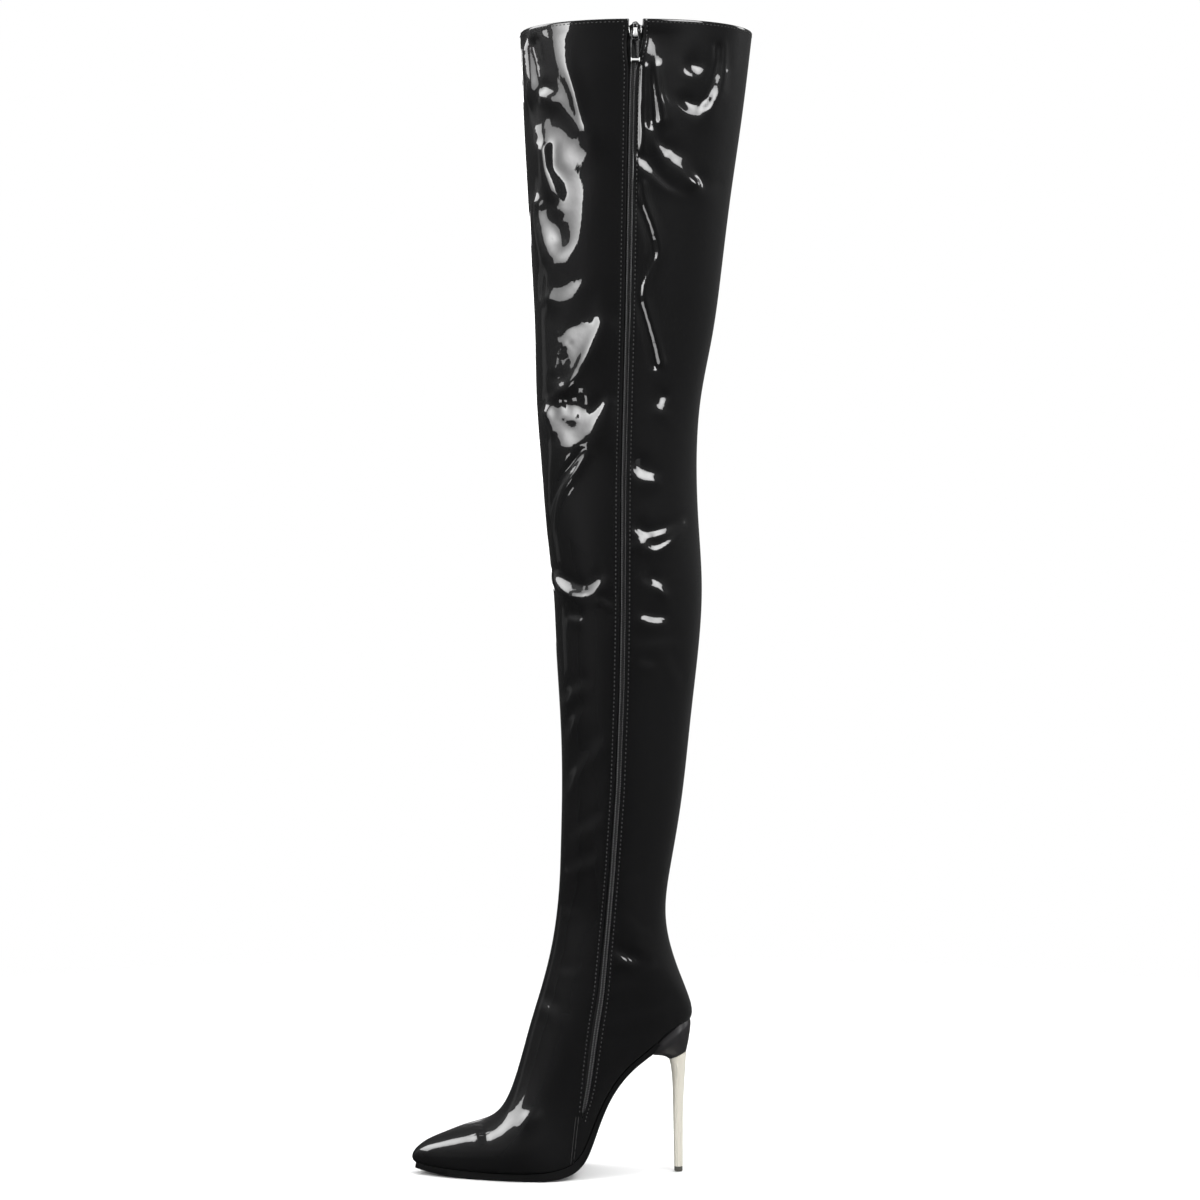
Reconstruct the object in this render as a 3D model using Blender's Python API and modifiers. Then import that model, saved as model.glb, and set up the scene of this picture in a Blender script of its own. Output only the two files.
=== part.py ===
"""Over-the-knee boot for the right foot: pointed toe, thigh-high shaft, stiletto heel, inside zip.

The toe points to -X, the zip (inner side of the leg) faces -Y and the shaft rises along +Z.
The origin is on the floor, under the middle of the heel tip. Tables and sizes are in millimetres.
"""

import math

import bmesh
import bpy
import numpy as np
from mathutils import Matrix, Vector

MM = 0.001

# Leather, board and clearance
WALL = 1.8
GAP = 0.3
INSOLE_THICK = 2.4
SOLE_THICK = 3.0
SOLE_THICK_WAIST = 2.4
SOLE_SHARE = 0.93
SOLE_TOE_DRAW = 0.13
SOLE_WAIST_DRAW = 0.10
INSOLE_SHARE = 0.80
INSOLE_HEEL_LIFT = 0.9

# The last and the shaft, one row for each section from the toe to the collar.
# A section is a plane through its front point (dorsal line, shin) and its back point (sole, heel, calf).
# inner and outer are half widths either side of centre_y, widest is how far up the section they are,
# full_front and full_back are the roundness exponents of the two ends, and opening is the half width
# of the gap that the turned-in lasting margin leaves underneath.
COLUMNS = (
    "front_x", "front_z", "back_x", "back_z", "inner", "outer", "centre_y",
    "widest", "full_front", "full_back", "opening",
)
SECTIONS = {
    "tip": (-207.5, 12.3, -207.5, 12.2, 0.1, 0.1, -6.0, 0.50, 2.0, 2.0, 0.0),
    "nose": (-206.6, 15.7, -206.2, 9.2, 4.6, 4.4, -6.0, 0.48, 2.0, 2.2, 0.0),
    "toe_point": (-203.3, 19.9, -202.2, 7.5, 9.4, 9.0, -5.9, 0.44, 2.0, 2.8, 0.0),
    "toe": (-195.0, 25.8, -193.4, 6.0, 15.8, 15.0, -5.6, 0.40, 2.0, 3.6, 5.0),
    "toe_box": (-181.5, 31.4, -178.4, 4.4, 23.4, 22.0, -5.2, 0.36, 2.0, 4.4, 12.0),
    "vamp_point": (-164.5, 37.6, -158.0, 3.4, 31.6, 29.4, -4.8, 0.33, 2.0, 5.0, 19.5),
    "vamp": (-148.0, 42.6, -134.0, 3.3, 39.8, 35.2, -4.2, 0.31, 1.95, 5.4, 26.0),
    "ball": (-137.2, 51.6, -110.0, 3.4, 44.0, 38.6, -3.6, 0.30, 1.9, 5.4, 29.0),
    "ball_back": (-129.6, 67.0, -91.6, 4.6, 42.0, 39.2, -2.8, 0.31, 1.85, 5.4, 28.0),
    "waist_front": (-122.8, 88.5, -76.2, 12.8, 36.8, 37.6, -1.8, 0.34, 1.85, 6.0, 25.0),
    "waist": (-116.2, 112.5, -66.0, 34.8, 33.0, 35.6, -1.2, 0.38, 1.85, 7.0, 22.0),
    "waist_back": (-109.7, 134.0, -55.2, 60.4, 31.6, 34.4, -0.8, 0.41, 1.85, 7.6, 21.0),
    "instep": (-103.8, 154.5, -39.8, 81.6, 31.2, 33.6, -0.4, 0.43, 1.9, 7.6, 21.0),
    "seat_front": (-99.2, 174.0, -21.8, 96.6, 31.2, 33.0, 0.0, 0.44, 1.95, 7.2, 20.0),
    "seat": (-96.2, 191.5, -4.0, 110.0, 31.2, 32.4, 0.0, 0.45, 2.0, 5.2, 16.0),
    "heel_back": (-94.3, 207.0, 9.3, 119.8, 31.2, 32.2, 0.0, 0.46, 2.0, 2.9, 0.0),
    "counter": (-93.0, 222.5, 8.2, 135.8, 31.8, 32.8, 0.0, 0.47, 2.0, 2.4, 0.0),
    "achilles": (-92.2, 239.0, -1.8, 162.0, 33.0, 34.0, 0.0, 0.48, 2.0, 2.15, 0.0),
    "ankle": (-91.7, 257.0, -9.0, 189.5, 34.6, 35.6, 0.0, 0.49, 2.0, 2.05, 0.0),
    "ankle_top": (-91.2, 277.0, -9.4, 216.0, 36.8, 37.8, 0.0, 0.50, 2.05, 2.05, 0.0),
    "shin_low": (-90.9, 303.0, -4.2, 249.0, 39.6, 40.4, 0.0, 0.50, 2.05, 2.05, 0.0),
    "shin": (-91.4, 336.0, 3.2, 296.0, 43.4, 44.0, 0.0, 0.50, 2.1, 2.05, 0.0),
    "calf_low": (-93.2, 372.0, 9.6, 354.0, 47.6, 48.2, 0.0, 0.50, 2.1, 2.05, 0.0),
    "calf": (-95.6, 412.0, 15.6, 408.0, 51.2, 51.8, 0.0, 0.50, 2.1, 2.1, 0.0),
    "calf_top": (-98.0, 455.0, 18.2, 456.0, 53.0, 53.6, 0.0, 0.50, 2.1, 2.1, 0.0),
    "under_knee": (-103.2, 502.0, 15.8, 503.0, 53.2, 53.8, 0.0, 0.50, 2.1, 2.1, 0.0),
    "knee": (-107.2, 551.0, 14.2, 551.0, 53.2, 53.8, 0.0, 0.50, 2.1, 2.1, 0.0),
    "over_knee": (-110.8, 602.0, 17.4, 602.0, 54.4, 55.0, 0.0, 0.50, 2.1, 2.1, 0.0),
    "thigh_low": (-112.0, 652.0, 26.6, 652.0, 56.6, 57.2, 0.0, 0.50, 2.1, 2.1, 0.0),
    "thigh": (-114.6, 706.0, 34.0, 706.0, 58.8, 59.4, 0.0, 0.50, 2.1, 2.1, 0.0),
    "thigh_mid": (-117.8, 762.0, 41.0, 762.0, 60.8, 61.4, 0.0, 0.50, 2.1, 2.1, 0.0),
    "thigh_top": (-121.0, 822.0, 49.6, 822.0, 62.4, 63.0, 0.0, 0.50, 2.1, 2.1, 0.0),
    "collar": (-123.8, 886.0, 57.4, 886.0, 63.4, 64.0, 0.0, 0.50, 2.1, 2.1, 0.0),
}
STATION = {name: number for number, name in enumerate(SECTIONS)}
LAST_STATION = len(SECTIONS) - 1
OUTLINE_STEPS = 120
BEND_WEIGHT = 0.7
SLOT_FLARE = (STATION["collar"] - 0.6, STATION["collar"] - 0.31)
BACK_COLUMNS = 7
FRONT_COLUMNS = 8
OUTER_COLUMNS = 14
LAST_COLUMNS = 40
LAST_STEPS = 4
SOLE_COLUMNS = (0.0, 0.45, 0.72, 0.87, 0.95, 1.0)

# The zip, on the inner side: its middle line and the width of its slot, by height from the collar down
ZIP_COLUMNS = ("z", "x", "slot")
ZIP_LINE = (
    (886.0, -33.8, 11.6),
    (866.0, -35.2, 11.6),
    (848.0, -36.5, 6.4),
    (673.0, -39.5, 6.2),
    (533.0, -42.8, 6.2),
    (430.0, -43.3, 6.2),
    (372.0, -44.3, 6.2),
    (298.0, -47.1, 6.3),
    (235.0, -51.4, 6.4),
    (195.0, -54.9, 6.8),
    (140.0, -59.8, 7.6),
    (113.0, -64.2, 8.0),
    (78.0, -68.9, 7.6),
    (61.0, -71.6, 5.6),
    (46.0, -75.1, 1.6),
)
ZIP_END_STATION = STATION["waist"]
CHAIN_HALF = 2.1
CHAIN_SINK = 0.3
CHAIN_SIDE_ROOM = 0.5
TAPE_THICK = 0.7
TAPE_HALF = 12.5
TAPE_HALF_LOW = 6.0
TAPE_TOP_Z = 881.0
CHAIN_TOP_Z = 872.0

# Slider and pull tab, drawn upright against the wall of the collar
SLIDER_WIDTH = 10.2
SLIDER_TOP_Z = 883.6
SLIDER_LONG = 12.6
SLIDER_PLATE = 1.5
SLIDER_NECK = 4.6
BRIDGE_WIDE = 2.2
BRIDGE_LONG = 9.4
BRIDGE_BAR = 1.1
BRIDGE_FOOT = 1.3
BRIDGE_RISE = 3.2
TAB_WIDE = 6.8
TAB_LONG = 26.0
TAB_THICK = 1.3
TAB_EYE_WIDE = 3.6
TAB_EYE_LONG = 7.2

# Heel: a covered block under the seat, a metal stem and a rubber tip. Rows run from the seat down.
HEEL_COLUMNS = ("back_x", "back_z", "front_x", "front_z", "half_width", "squareness")
HEEL_COVER = (
    (6.0, 123.0, -24.8, 99.7, 22.0, 2.5),
    (9.6, 117.0, -20.2, 94.2, 26.0, 2.5),
    (9.1, 111.6, -17.6, 91.4, 23.0, 2.4),
    (8.4, 106.0, -14.6, 90.3, 18.6, 2.3),
    (7.6, 101.0, -11.8, 89.4, 14.0, 2.2),
    (6.7, 96.8, -9.2, 88.4, 9.9, 2.15),
    (6.1, 93.9, -7.5, 87.5, 7.7, 2.1),
)
HEEL_STEM = (
    (6.05, 93.55, -7.35, 87.15, 7.6, 2.1),
    (5.6, 86.8, -6.15, 82.8, 6.4, 2.1),
    (5.15, 78.4, -5.35, 76.6, 5.75, 2.15),
    (4.6, 70.6, -4.8, 70.2, 5.3, 2.2),
    (3.8, 55.0, -4.35, 55.0, 4.7, 2.3),
    (3.45, 39.4, -4.05, 39.4, 4.4, 2.4),
    (3.35, 20.0, -3.6, 20.0, 4.15, 2.5),
    (3.3, 3.9, -3.35, 3.9, 4.0, 2.5),
)
HEEL_SIDES = 24
TIP_SCALE = 0.98
TIP_TALL = 3.6
TIP_EDGE = 0.35

# Finish of each material: colour, roughness, metallic
FINISHES = {
    "patent_leather": ((0.006, 0.006, 0.007), 0.08, 0.0),
    "insole_board": ((0.02, 0.02, 0.022), 0.6, 0.0),
    "sole_black": ((0.010, 0.010, 0.011), 0.45, 0.0),
    "heel_black": ((0.022, 0.021, 0.024), 0.22, 0.0),
    "pale_metal": ((0.62, 0.59, 0.50), 0.28, 1.0),
    "tip_rubber": ((0.07, 0.068, 0.055), 0.6, 0.0),
    "zip_black": ((0.012, 0.012, 0.013), 0.5, 0.0),
    "zip_metal": ((0.02, 0.02, 0.022), 0.12, 0.6),
}


def new_collection(name, hidden=False):
    collection = bpy.data.collections.new(name)
    bpy.context.scene.collection.children.link(collection)
    collection.hide_render = hidden
    return collection


def material_of(name):
    material = bpy.data.materials.get(name)
    if material is None:
        colour, roughness, metallic = FINISHES[name]
        material = bpy.data.materials.new(name)
        material.use_nodes = True
        shader = material.node_tree.nodes["Principled BSDF"]
        shader.inputs["Base Color"].default_value = (*colour, 1.0)
        shader.inputs["Roughness"].default_value = roughness
        shader.inputs["Metallic"].default_value = metallic
    return material


# Splines through the tables

def spline_bends(values):
    """Second differences of the natural cubic spline through evenly spaced values."""
    count = len(values)
    matrix = np.eye(count)
    right = np.zeros(count)
    for i in range(1, count - 1):
        matrix[i, i - 1 : i + 2] = (1, 4, 1)
        right[i] = 6 * (values[i - 1] - 2 * values[i] + values[i + 1])
    return np.linalg.solve(matrix, right)


TABLE = {c: np.array([row[i] for row in SECTIONS.values()]) for i, c in enumerate(COLUMNS)}
BENDS = {column: spline_bends(values) for column, values in TABLE.items()}
ZIP = {c: np.array([row[i] for row in ZIP_LINE]) for i, c in enumerate(ZIP_COLUMNS)}


def at_station(column, station):
    """A column of the section table at any station, on a smooth curve through its rows."""
    low = min(max(int(station), 0), LAST_STATION - 1)
    up = station - low
    down = 1 - up
    values, bends = TABLE[column], BENDS[column]
    bend = ((down**3 - down) * bends[low] + (up**3 - up) * bends[low + 1]) / 6
    return down * values[low] + up * values[low + 1] + bend


def zip_at(column, height):
    """The zip's middle line or slot width at a height."""
    return float(np.interp(height, ZIP["z"][::-1], ZIP[column][::-1]))


class Section:
    """One section of the boot: a closed outline in the plane of its front and back points."""

    def __init__(self, station):
        self.row = {column: at_station(column, station) for column in COLUMNS}
        self.back = np.array([self.row["back_x"], self.row["back_z"]])
        front = np.array([self.row["front_x"], self.row["front_z"]])
        self.chord = float(np.linalg.norm(front - self.back))
        self.up = (front - self.back) / max(self.chord, 1e-6)
        self.sides = {"inner": self.half_outline("inner"), "outer": self.half_outline("outer")}

    def half_outline(self, side):
        """Heights up the chord, half widths and run lengths, from the back point to the front one."""
        turn = np.linspace(0, math.pi, OUTLINE_STEPS + 1)
        cosine, sine = np.cos(turn), np.sin(turn)
        low = cosine > 0
        power = np.where(low, 2 / self.row["full_back"], 2 / self.row["full_front"])
        reach = np.abs(cosine) ** power
        widest = self.row["widest"] * self.chord
        height = np.where(low, widest * (1 - reach), widest + (self.chord - widest) * reach)
        width = self.row[side] * np.clip(sine, 0, 1) ** power
        rise, spread = np.diff(height), np.diff(width)
        run = np.concatenate([[0], np.cumsum(np.hypot(rise, spread))])
        heading = np.unwrap(np.arctan2(rise, spread))
        bend = np.concatenate([[0, 0], np.cumsum(np.abs(np.diff(heading)))])
        measure = run / max(run[-1], 1e-6) + BEND_WEIGHT * bend / max(bend[-1], 1e-6)
        return height, width, run, measure

    def length(self, side):
        return self.sides[side][2][-1]

    def point(self, side, run):
        """The point this far along the outline from the back point, in millimetres."""
        heights, widths, runs, _ = self.sides[side]
        height = np.interp(run, runs, heights)
        width = np.interp(run, runs, widths)
        x, z = self.back + self.up * height
        sign = -1 if side == "inner" else 1
        return np.array([x, self.row["centre_y"] + sign * width, z])

    def spaced_runs(self, side, first, final, count):
        """Runs between two others, closer together where the outline bends."""
        runs, measures = self.sides[side][2:]
        ends = np.interp((first, final), runs, measures)
        return np.interp(np.linspace(*ends, count + 1), measures, runs)

    def run_at_share(self, side, share):
        """The run where the outline is this share of the way up the chord."""
        heights, _, runs, _ = self.sides[side]
        return float(np.interp(share * self.chord, heights, runs))

    def run_at_width(self, side, width):
        """The run along the bottom where the outline reaches this half width."""
        widths, runs = self.sides[side][1:3]
        peak = int(np.argmax(widths))
        return float(np.interp(width, widths[: peak + 1], runs[: peak + 1]))


def normal_at(station, side, run):
    """The outward direction of the boot's skin."""
    reach = 0.4
    step = 0.05
    section = Section(station)
    along = section.point(side, run + reach) - section.point(side, run - reach)
    share = run / section.length(side)
    low = Section(max(station - step, 0))
    high = Section(min(station + step, LAST_STATION))
    across = high.point(side, share * high.length(side)) - low.point(side, share * low.length(side))
    normal = np.cross(along, across)
    middle = section.back + section.up * section.chord * 0.5
    outward = section.point(side, run) - np.array([middle[0], section.row["centre_y"], middle[1]])
    return normal / np.linalg.norm(normal) * (1 if normal @ outward > 0 else -1)


def skin_point(station, side, run, depth=0.0):
    """A point under the boot's skin by this depth. A negative depth is outside it."""
    point = Section(station).point(side, run)
    return point - normal_at(station, side, run) * depth if depth else point


def tape_half(height):
    """The tapes narrow where the zip runs out above the sole."""
    share = min(max((height - 60) / 100, 0), 1)
    return TAPE_HALF_LOW + (TAPE_HALF - TAPE_HALF_LOW) * share


def zip_run(section, station):
    """Where the zip crosses a section: its run on the inner side, its half slot there and its height."""
    if station < ZIP_END_STATION:
        run, half, height = zip_run(Section(ZIP_END_STATION), ZIP_END_STATION)
        shrink = section.length("inner") / ZIP_END_LENGTH
        return run * shrink, half * shrink, height
    shares = np.linspace(0.1, 0.9, 801)
    line = section.back[:, None] + section.up[:, None] * shares * section.chord
    off = line[0] - np.interp(line[1], ZIP["z"][::-1], ZIP["x"][::-1])
    share = float(shares[int(np.argmin(np.abs(off)))])
    height = section.back[1] + section.up[1] * share * section.chord
    rise = np.array([zip_at("x", height + 5) - zip_at("x", height - 5), 10.0])
    rise /= np.linalg.norm(rise)
    across = abs(rise[0] * section.up[1] - rise[1] * section.up[0])
    return section.run_at_share("inner", share), zip_at("slot", height) / 2 / across, height


ZIP_END_LENGTH = Section(ZIP_END_STATION).length("inner")


def opening_of(section, station):
    """Half width of the gap underneath. It is closed at the toe's point and up the heel."""
    if station <= STATION["toe_point"] or station >= STATION["heel_back"]:
        return 0.0
    return max(section.row["opening"], 0.0)


# Meshes

def add_mesh(name, points, faces, material, collection):
    """A mesh object from points in millimetres, welded and smooth."""
    mesh = bpy.data.meshes.new(name)
    mesh.from_pydata([Vector(p) * MM for p in points], [], faces)
    shape = bmesh.new()
    shape.from_mesh(mesh)
    bmesh.ops.remove_doubles(shape, verts=shape.verts, dist=0.02 * MM)
    bmesh.ops.recalc_face_normals(shape, faces=shape.faces)
    shape.to_mesh(mesh)
    shape.free()
    mesh.shade_smooth()
    mesh.set_sharp_from_angle(angle=math.radians(35))
    mesh.materials.append(material_of(material))
    thing = bpy.data.objects.new(name, mesh)
    collection.objects.link(thing)
    return thing


def loft(name, rings, material, collection):
    """A closed solid through rings that have the same number of points."""
    count = len(rings[0])
    points = [p for ring in rings for p in ring]
    faces = []
    for r in range(len(rings) - 1):
        for i in range(count):
            j = (i + 1) % count
            faces.append((r * count + i, r * count + j, (r + 1) * count + j, (r + 1) * count + i))
    faces.append(tuple(range(count))[::-1])
    faces.append(tuple(range((len(rings) - 1) * count, len(rings) * count)))
    return add_mesh(name, points, faces, material, collection)


def boolean(thing, other, operation):
    modifier = thing.modifiers.new(operation.lower(), "BOOLEAN")
    modifier.operation = operation
    modifier.object = other


def as_cutter(thing):
    thing.hide_render = True
    thing.display_type = "WIRE"
    return thing


def box(name, size, centre, material, collection, edge=0.0):
    """A block with rounded edges, in millimetres."""
    bpy.ops.mesh.primitive_cube_add(size=1)
    thing = bpy.context.active_object
    thing.name = thing.data.name = name
    thing.data.transform(Matrix.Diagonal((*[s * MM for s in size], 1)))
    thing.location = Vector(centre) * MM
    thing.data.materials.append(material_of(material))
    for owner in list(thing.users_collection):
        owner.objects.unlink(thing)
    collection.objects.link(thing)
    if edge:
        bevel = thing.modifiers.new("edge", "BEVEL")
        bevel.width = edge * MM
        bevel.segments = 2
    return thing


# The upper: a skin through the sections, given its wall

def upper_columns(section, station):
    """Runs of the skin's columns, from the inner margin over the front to the outer margin."""
    opening = opening_of(section, station)
    centre, half, height = zip_run(section, station)
    whole = section.length("inner")
    margin = section.run_at_width("inner", opening) if opening else 0.0
    facing = tape_half(height) * min(section.length("inner") / ZIP_END_LENGTH, 1)
    behind = section.spaced_runs("inner", margin, centre - facing, BACK_COLUMNS - 1)
    before = section.spaced_runs("inner", centre + facing, whole, FRONT_COLUMNS - 1)
    runs = (*behind, centre - half, centre + half, *before)
    inner = [("inner", run) for run in runs]
    margin = section.run_at_width("outer", opening) if opening else 0.0
    outer = section.spaced_runs("outer", margin, section.length("outer"), OUTER_COLUMNS)[-2::-1]
    return inner + [("outer", run) for run in outer]


def row_stations():
    """Two rows a section in the foot and ankle, one in the straighter shaft, and the slot's flare."""
    foot = [number / 2 for number in range(2 * STATION["calf_low"])]
    shaft = list(range(STATION["calf_low"], LAST_STATION + 1))
    return sorted(foot + shaft + list(SLOT_FLARE))


def build_upper(collection):
    points, faces = [], []
    stations = row_stations()
    width = BACK_COLUMNS + FRONT_COLUMNS + OUTER_COLUMNS + 2
    for row, station in enumerate(stations):
        section = Section(station)
        points += [section.point(side, run) for side, run in upper_columns(section, station)]
        for column in range(width - 1 if row else 0):
            if column == BACK_COLUMNS and station > ZIP_END_STATION:
                continue
            here = row * width + column
            faces.append((here - width, here - width + 1, here + 1, here))
    upper = add_mesh("upper", points, faces, "patent_leather", collection)
    wall = upper.modifiers.new("wall", "SOLIDIFY")
    wall.thickness = WALL * MM
    wall.offset = -1
    wall.use_even_offset = True
    return upper


def last_solid(collection, first, final):
    """The outside of the boot between two stations, a gap larger, for cutting what fits under it."""
    rings = []
    for station in np.arange(first, final + 0.01, 1 / LAST_STEPS):
        section = Section(station)
        ring = []
        for side, backward in (("inner", False), ("outer", True)):
            runs = section.spaced_runs(side, 0, section.length(side), LAST_COLUMNS)
            runs = runs[::-1][1:-1] if backward else runs
            ring += [skin_point(station, side, run, -GAP) for run in runs]
        rings.append(ring)
    return as_cutter(loft("last", rings, "heel_black", collection))


# Sole and insole: strips along the bottom of the last

def strip_across(station, share, depth):
    """Points across the bottom of the last, from the inner edge to the outer one."""
    section = Section(station)
    row = []
    steps = [-step for step in reversed(SOLE_COLUMNS[1:])] + list(SOLE_COLUMNS)
    for step in steps:
        side = "inner" if step < 0 else "outer"
        width = section.row[side] * share * abs(step)
        row.append(skin_point(station, side, max(section.run_at_width(side, width), 0.01), depth))
    return row


def bottom_normal(station):
    """The downward direction of the sole line in the side view."""
    step = 0.1
    ahead = [at_station(c, station + step) - at_station(c, station - step) for c in ("back_x", "back_z")]
    return np.array([ahead[1], 0.0, -ahead[0]]) / np.hypot(*ahead)


def sole_thickness(station):
    share = (station - STATION["ball"]) / (STATION["waist"] - STATION["ball"])
    share = min(max(share, 0), 1)
    return SOLE_THICK + (SOLE_THICK_WAIST - SOLE_THICK) * share


def sole_share(station):
    """The sole draws in to the nose of the upper at the toe, and under it at the waist."""
    toe = min(max((station - STATION["toe_point"]) / 2, 0), 1)
    waist = min(max((station - STATION["ball_back"]) / 3, 0), 1)
    return SOLE_SHARE - SOLE_TOE_DRAW * (1 - toe) - SOLE_WAIST_DRAW * waist


def sole_ring(station):
    """Top of the sole against the upper, and its flat underside, as one ring."""
    top = strip_across(station, sole_share(station), -GAP)
    down = bottom_normal(station) * (GAP + sole_thickness(station))
    x, z = (at_station(c, station) for c in ("back_x", "back_z"))
    under_x, under_z = x + down[0], z + down[2]
    if STATION["vamp_point"] <= station <= STATION["ball"] + 0.25 or under_z < 0.3:
        under_z = 0.0
    return top + [np.array([under_x, p[1], under_z]) for p in reversed(top)]


def build_outsole(collection):
    first, final = STATION["toe_point"] - 0.3, STATION["seat_front"] - 0.03
    stations = [first, *np.arange(STATION["toe_point"], final, 0.5), final]
    return loft("outsole", [sole_ring(s) for s in stations], "sole_black", collection)


def insole_ring(station):
    """The board on the turned-in margin. It lifts a little where the margin closes under the heel."""
    lift = INSOLE_HEEL_LIFT * min(max((station - STATION["seat_front"]) / 1.3, 0), 1)
    low = strip_across(station, INSOLE_SHARE, WALL + GAP + lift)
    up = Section(station).up * INSOLE_THICK
    middle = low[len(low) // 2][1]
    high = [np.array([p[0] + up[0], middle + (p[1] - middle) * 0.97, p[2] + up[1]]) for p in low]
    return low + high[::-1]


def build_insole(collection):
    first, final = STATION["toe_point"] + 0.8, STATION["seat"] + 0.3
    stations = [first, *np.arange(math.ceil(first), final, 0.5), final]
    return loft("insole", [insole_ring(s) for s in stations], "insole_board", collection)


# Heel

def heel_ring(row, sides=HEEL_SIDES):
    """A rounded outline between a back and a front point, tilted with them."""
    place = dict(zip(HEEL_COLUMNS, row))
    back = np.array([place["back_x"], 0.0, place["back_z"]])
    front = np.array([place["front_x"], 0.0, place["front_z"]])
    ring = []
    for number in range(sides):
        turn = 2 * math.pi * number / sides
        power = 2 / place["squareness"]
        along = math.copysign(abs(math.cos(turn)) ** power, math.cos(turn))
        side = math.copysign(abs(math.sin(turn)) ** power, math.sin(turn))
        ring.append((back + front) / 2 + (back - front) / 2 * along
                    + np.array([0.0, place["half_width"] * side, 0.0]))
    return ring


def build_heel(collection, cutters):
    cover = loft("heel_cover", [heel_ring(row) for row in HEEL_COVER], "heel_black", collection)
    last = last_solid(cutters, STATION["waist_back"], STATION["ankle"])
    boolean(cover, last, "DIFFERENCE")
    loft("heel_stem", [heel_ring(row) for row in HEEL_STEM], "pale_metal", collection)
    foot = dict(zip(HEEL_COLUMNS, HEEL_STEM[-1]))
    low = []
    for height, shrink in ((TIP_TALL, 1.0), (TIP_EDGE, 1.0), (0.0, 1.0 - TIP_EDGE / foot["half_width"])):
        scale = TIP_SCALE * shrink
        low.append((foot["back_x"] * scale, height, foot["front_x"] * scale, height,
                    foot["half_width"] * scale, foot["squareness"]))
    loft("heel_tip", [heel_ring(row) for row in low], "tip_rubber", collection)


# Zip

def zip_rows(top_z, low_slot):
    """Stations of the zip from its lower end to a height, with the zip's run and half slot at each."""
    rows = []
    for station in row_stations():
        section = Section(station)
        run, half, height = zip_run(section, station)
        if station >= ZIP_END_STATION and half * 2 >= low_slot and height <= top_z + 0.01:
            rows.append((station, run, half, height))
    top = next(s / 200 + rows[-1][0] for s in range(1, 200) if past(rows[-1][0] + s / 200, top_z))
    run, half, height = zip_run(Section(top), top)
    return rows + [(top, run, half, height)]


def past(station, height):
    return station >= LAST_STATION or zip_run(Section(station), station)[2] >= height


def zip_strip(name, rows, edges, depths, material, collection):
    """A curved strip along the zip. edges gives its two sides, from the middle line, for each row."""
    rings = []
    for station, run, half, height in rows:
        low, high = edges(half, height)
        corners = ((low, depths[0]), (high, depths[0]), (high, depths[1]), (low, depths[1]))
        rings.append([skin_point(station, "inner", run + side, depth) for side, depth in corners])
    return loft(name, rings, material, collection)


def build_zip(collection):
    def chain_edges(half, height):
        reach = min(CHAIN_HALF, half - CHAIN_SIDE_ROOM)
        return -reach, reach

    chain_rows = zip_rows(CHAIN_TOP_Z, 2 * CHAIN_SIDE_ROOM + 1)
    zip_strip("zip_chain", chain_rows, chain_edges, (CHAIN_SINK, WALL), "zip_black", collection)
    tape_rows = zip_rows(TAPE_TOP_Z, 0)
    depths = (WALL + GAP, WALL + GAP + TAPE_THICK)
    zip_strip("zip_tape_back", tape_rows, lambda half, z: (-tape_half(z), -GAP / 2),
              depths, "zip_black", collection)
    zip_strip("zip_tape_front", tape_rows, lambda half, z: (GAP / 2, tape_half(z)),
              depths, "zip_black", collection)


def slider_frame():
    """Middle of the slider on the skin of the collar, in millimetres."""
    height = SLIDER_TOP_Z - SLIDER_LONG / 2
    station = LAST_STATION - (TABLE["front_z"][-1] - height) / (TABLE["front_z"][-1] - TABLE["front_z"][-2])
    section = Section(station)
    return section.point("inner", zip_run(section, station)[0])


def build_slider(collection, cutters):
    x, y, z = slider_frame()
    plate_out = y - GAP + CHAIN_SINK - SLIDER_PLATE
    plate_in = y + WALL + 2 * GAP + TAPE_THICK
    top = z + SLIDER_LONG / 2
    slider = box("zip_slider", (SLIDER_WIDTH, SLIDER_PLATE, SLIDER_LONG),
                 (x, plate_out + SLIDER_PLATE / 2, z), "zip_metal", collection, 0.4)
    inside = box("slider_back_plate", (SLIDER_WIDTH - 1, SLIDER_PLATE, SLIDER_LONG - 0.6),
                 (x, plate_in + SLIDER_PLATE / 2, z + 0.3), "zip_metal", cutters)
    deep = plate_in - plate_out
    neck_tall = top - TAPE_TOP_Z - GAP
    neck = box("slider_neck", (SLIDER_NECK, deep, neck_tall),
               (x, plate_out + SLIDER_PLATE / 2 + deep / 2, top - neck_tall / 2), "zip_metal", cutters)
    bridge = build_bridge(x, plate_out, z, cutters)
    for piece in (inside, neck, bridge):
        boolean(slider, as_cutter(piece), "UNION")
    return x, plate_out - (BRIDGE_RISE - BRIDGE_BAR) / 2, z


def build_bridge(x, face, z, collection):
    """The arch on the slider that the pull tab hangs from."""
    arch = box("slider_bridge", (BRIDGE_WIDE, BRIDGE_RISE + 0.6, BRIDGE_LONG),
               (x, face - BRIDGE_RISE / 2 + 0.3, z), "zip_metal", collection, 0.4)
    hole_deep = BRIDGE_RISE - BRIDGE_BAR
    hole_long = BRIDGE_LONG - 2 * BRIDGE_FOOT
    hole = box("slider_bridge_hole", (BRIDGE_WIDE * 2, hole_deep, hole_long),
               (x, face - hole_deep / 2, z), "zip_metal", collection)
    boolean(arch, as_cutter(hole), "DIFFERENCE")
    return arch


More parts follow.
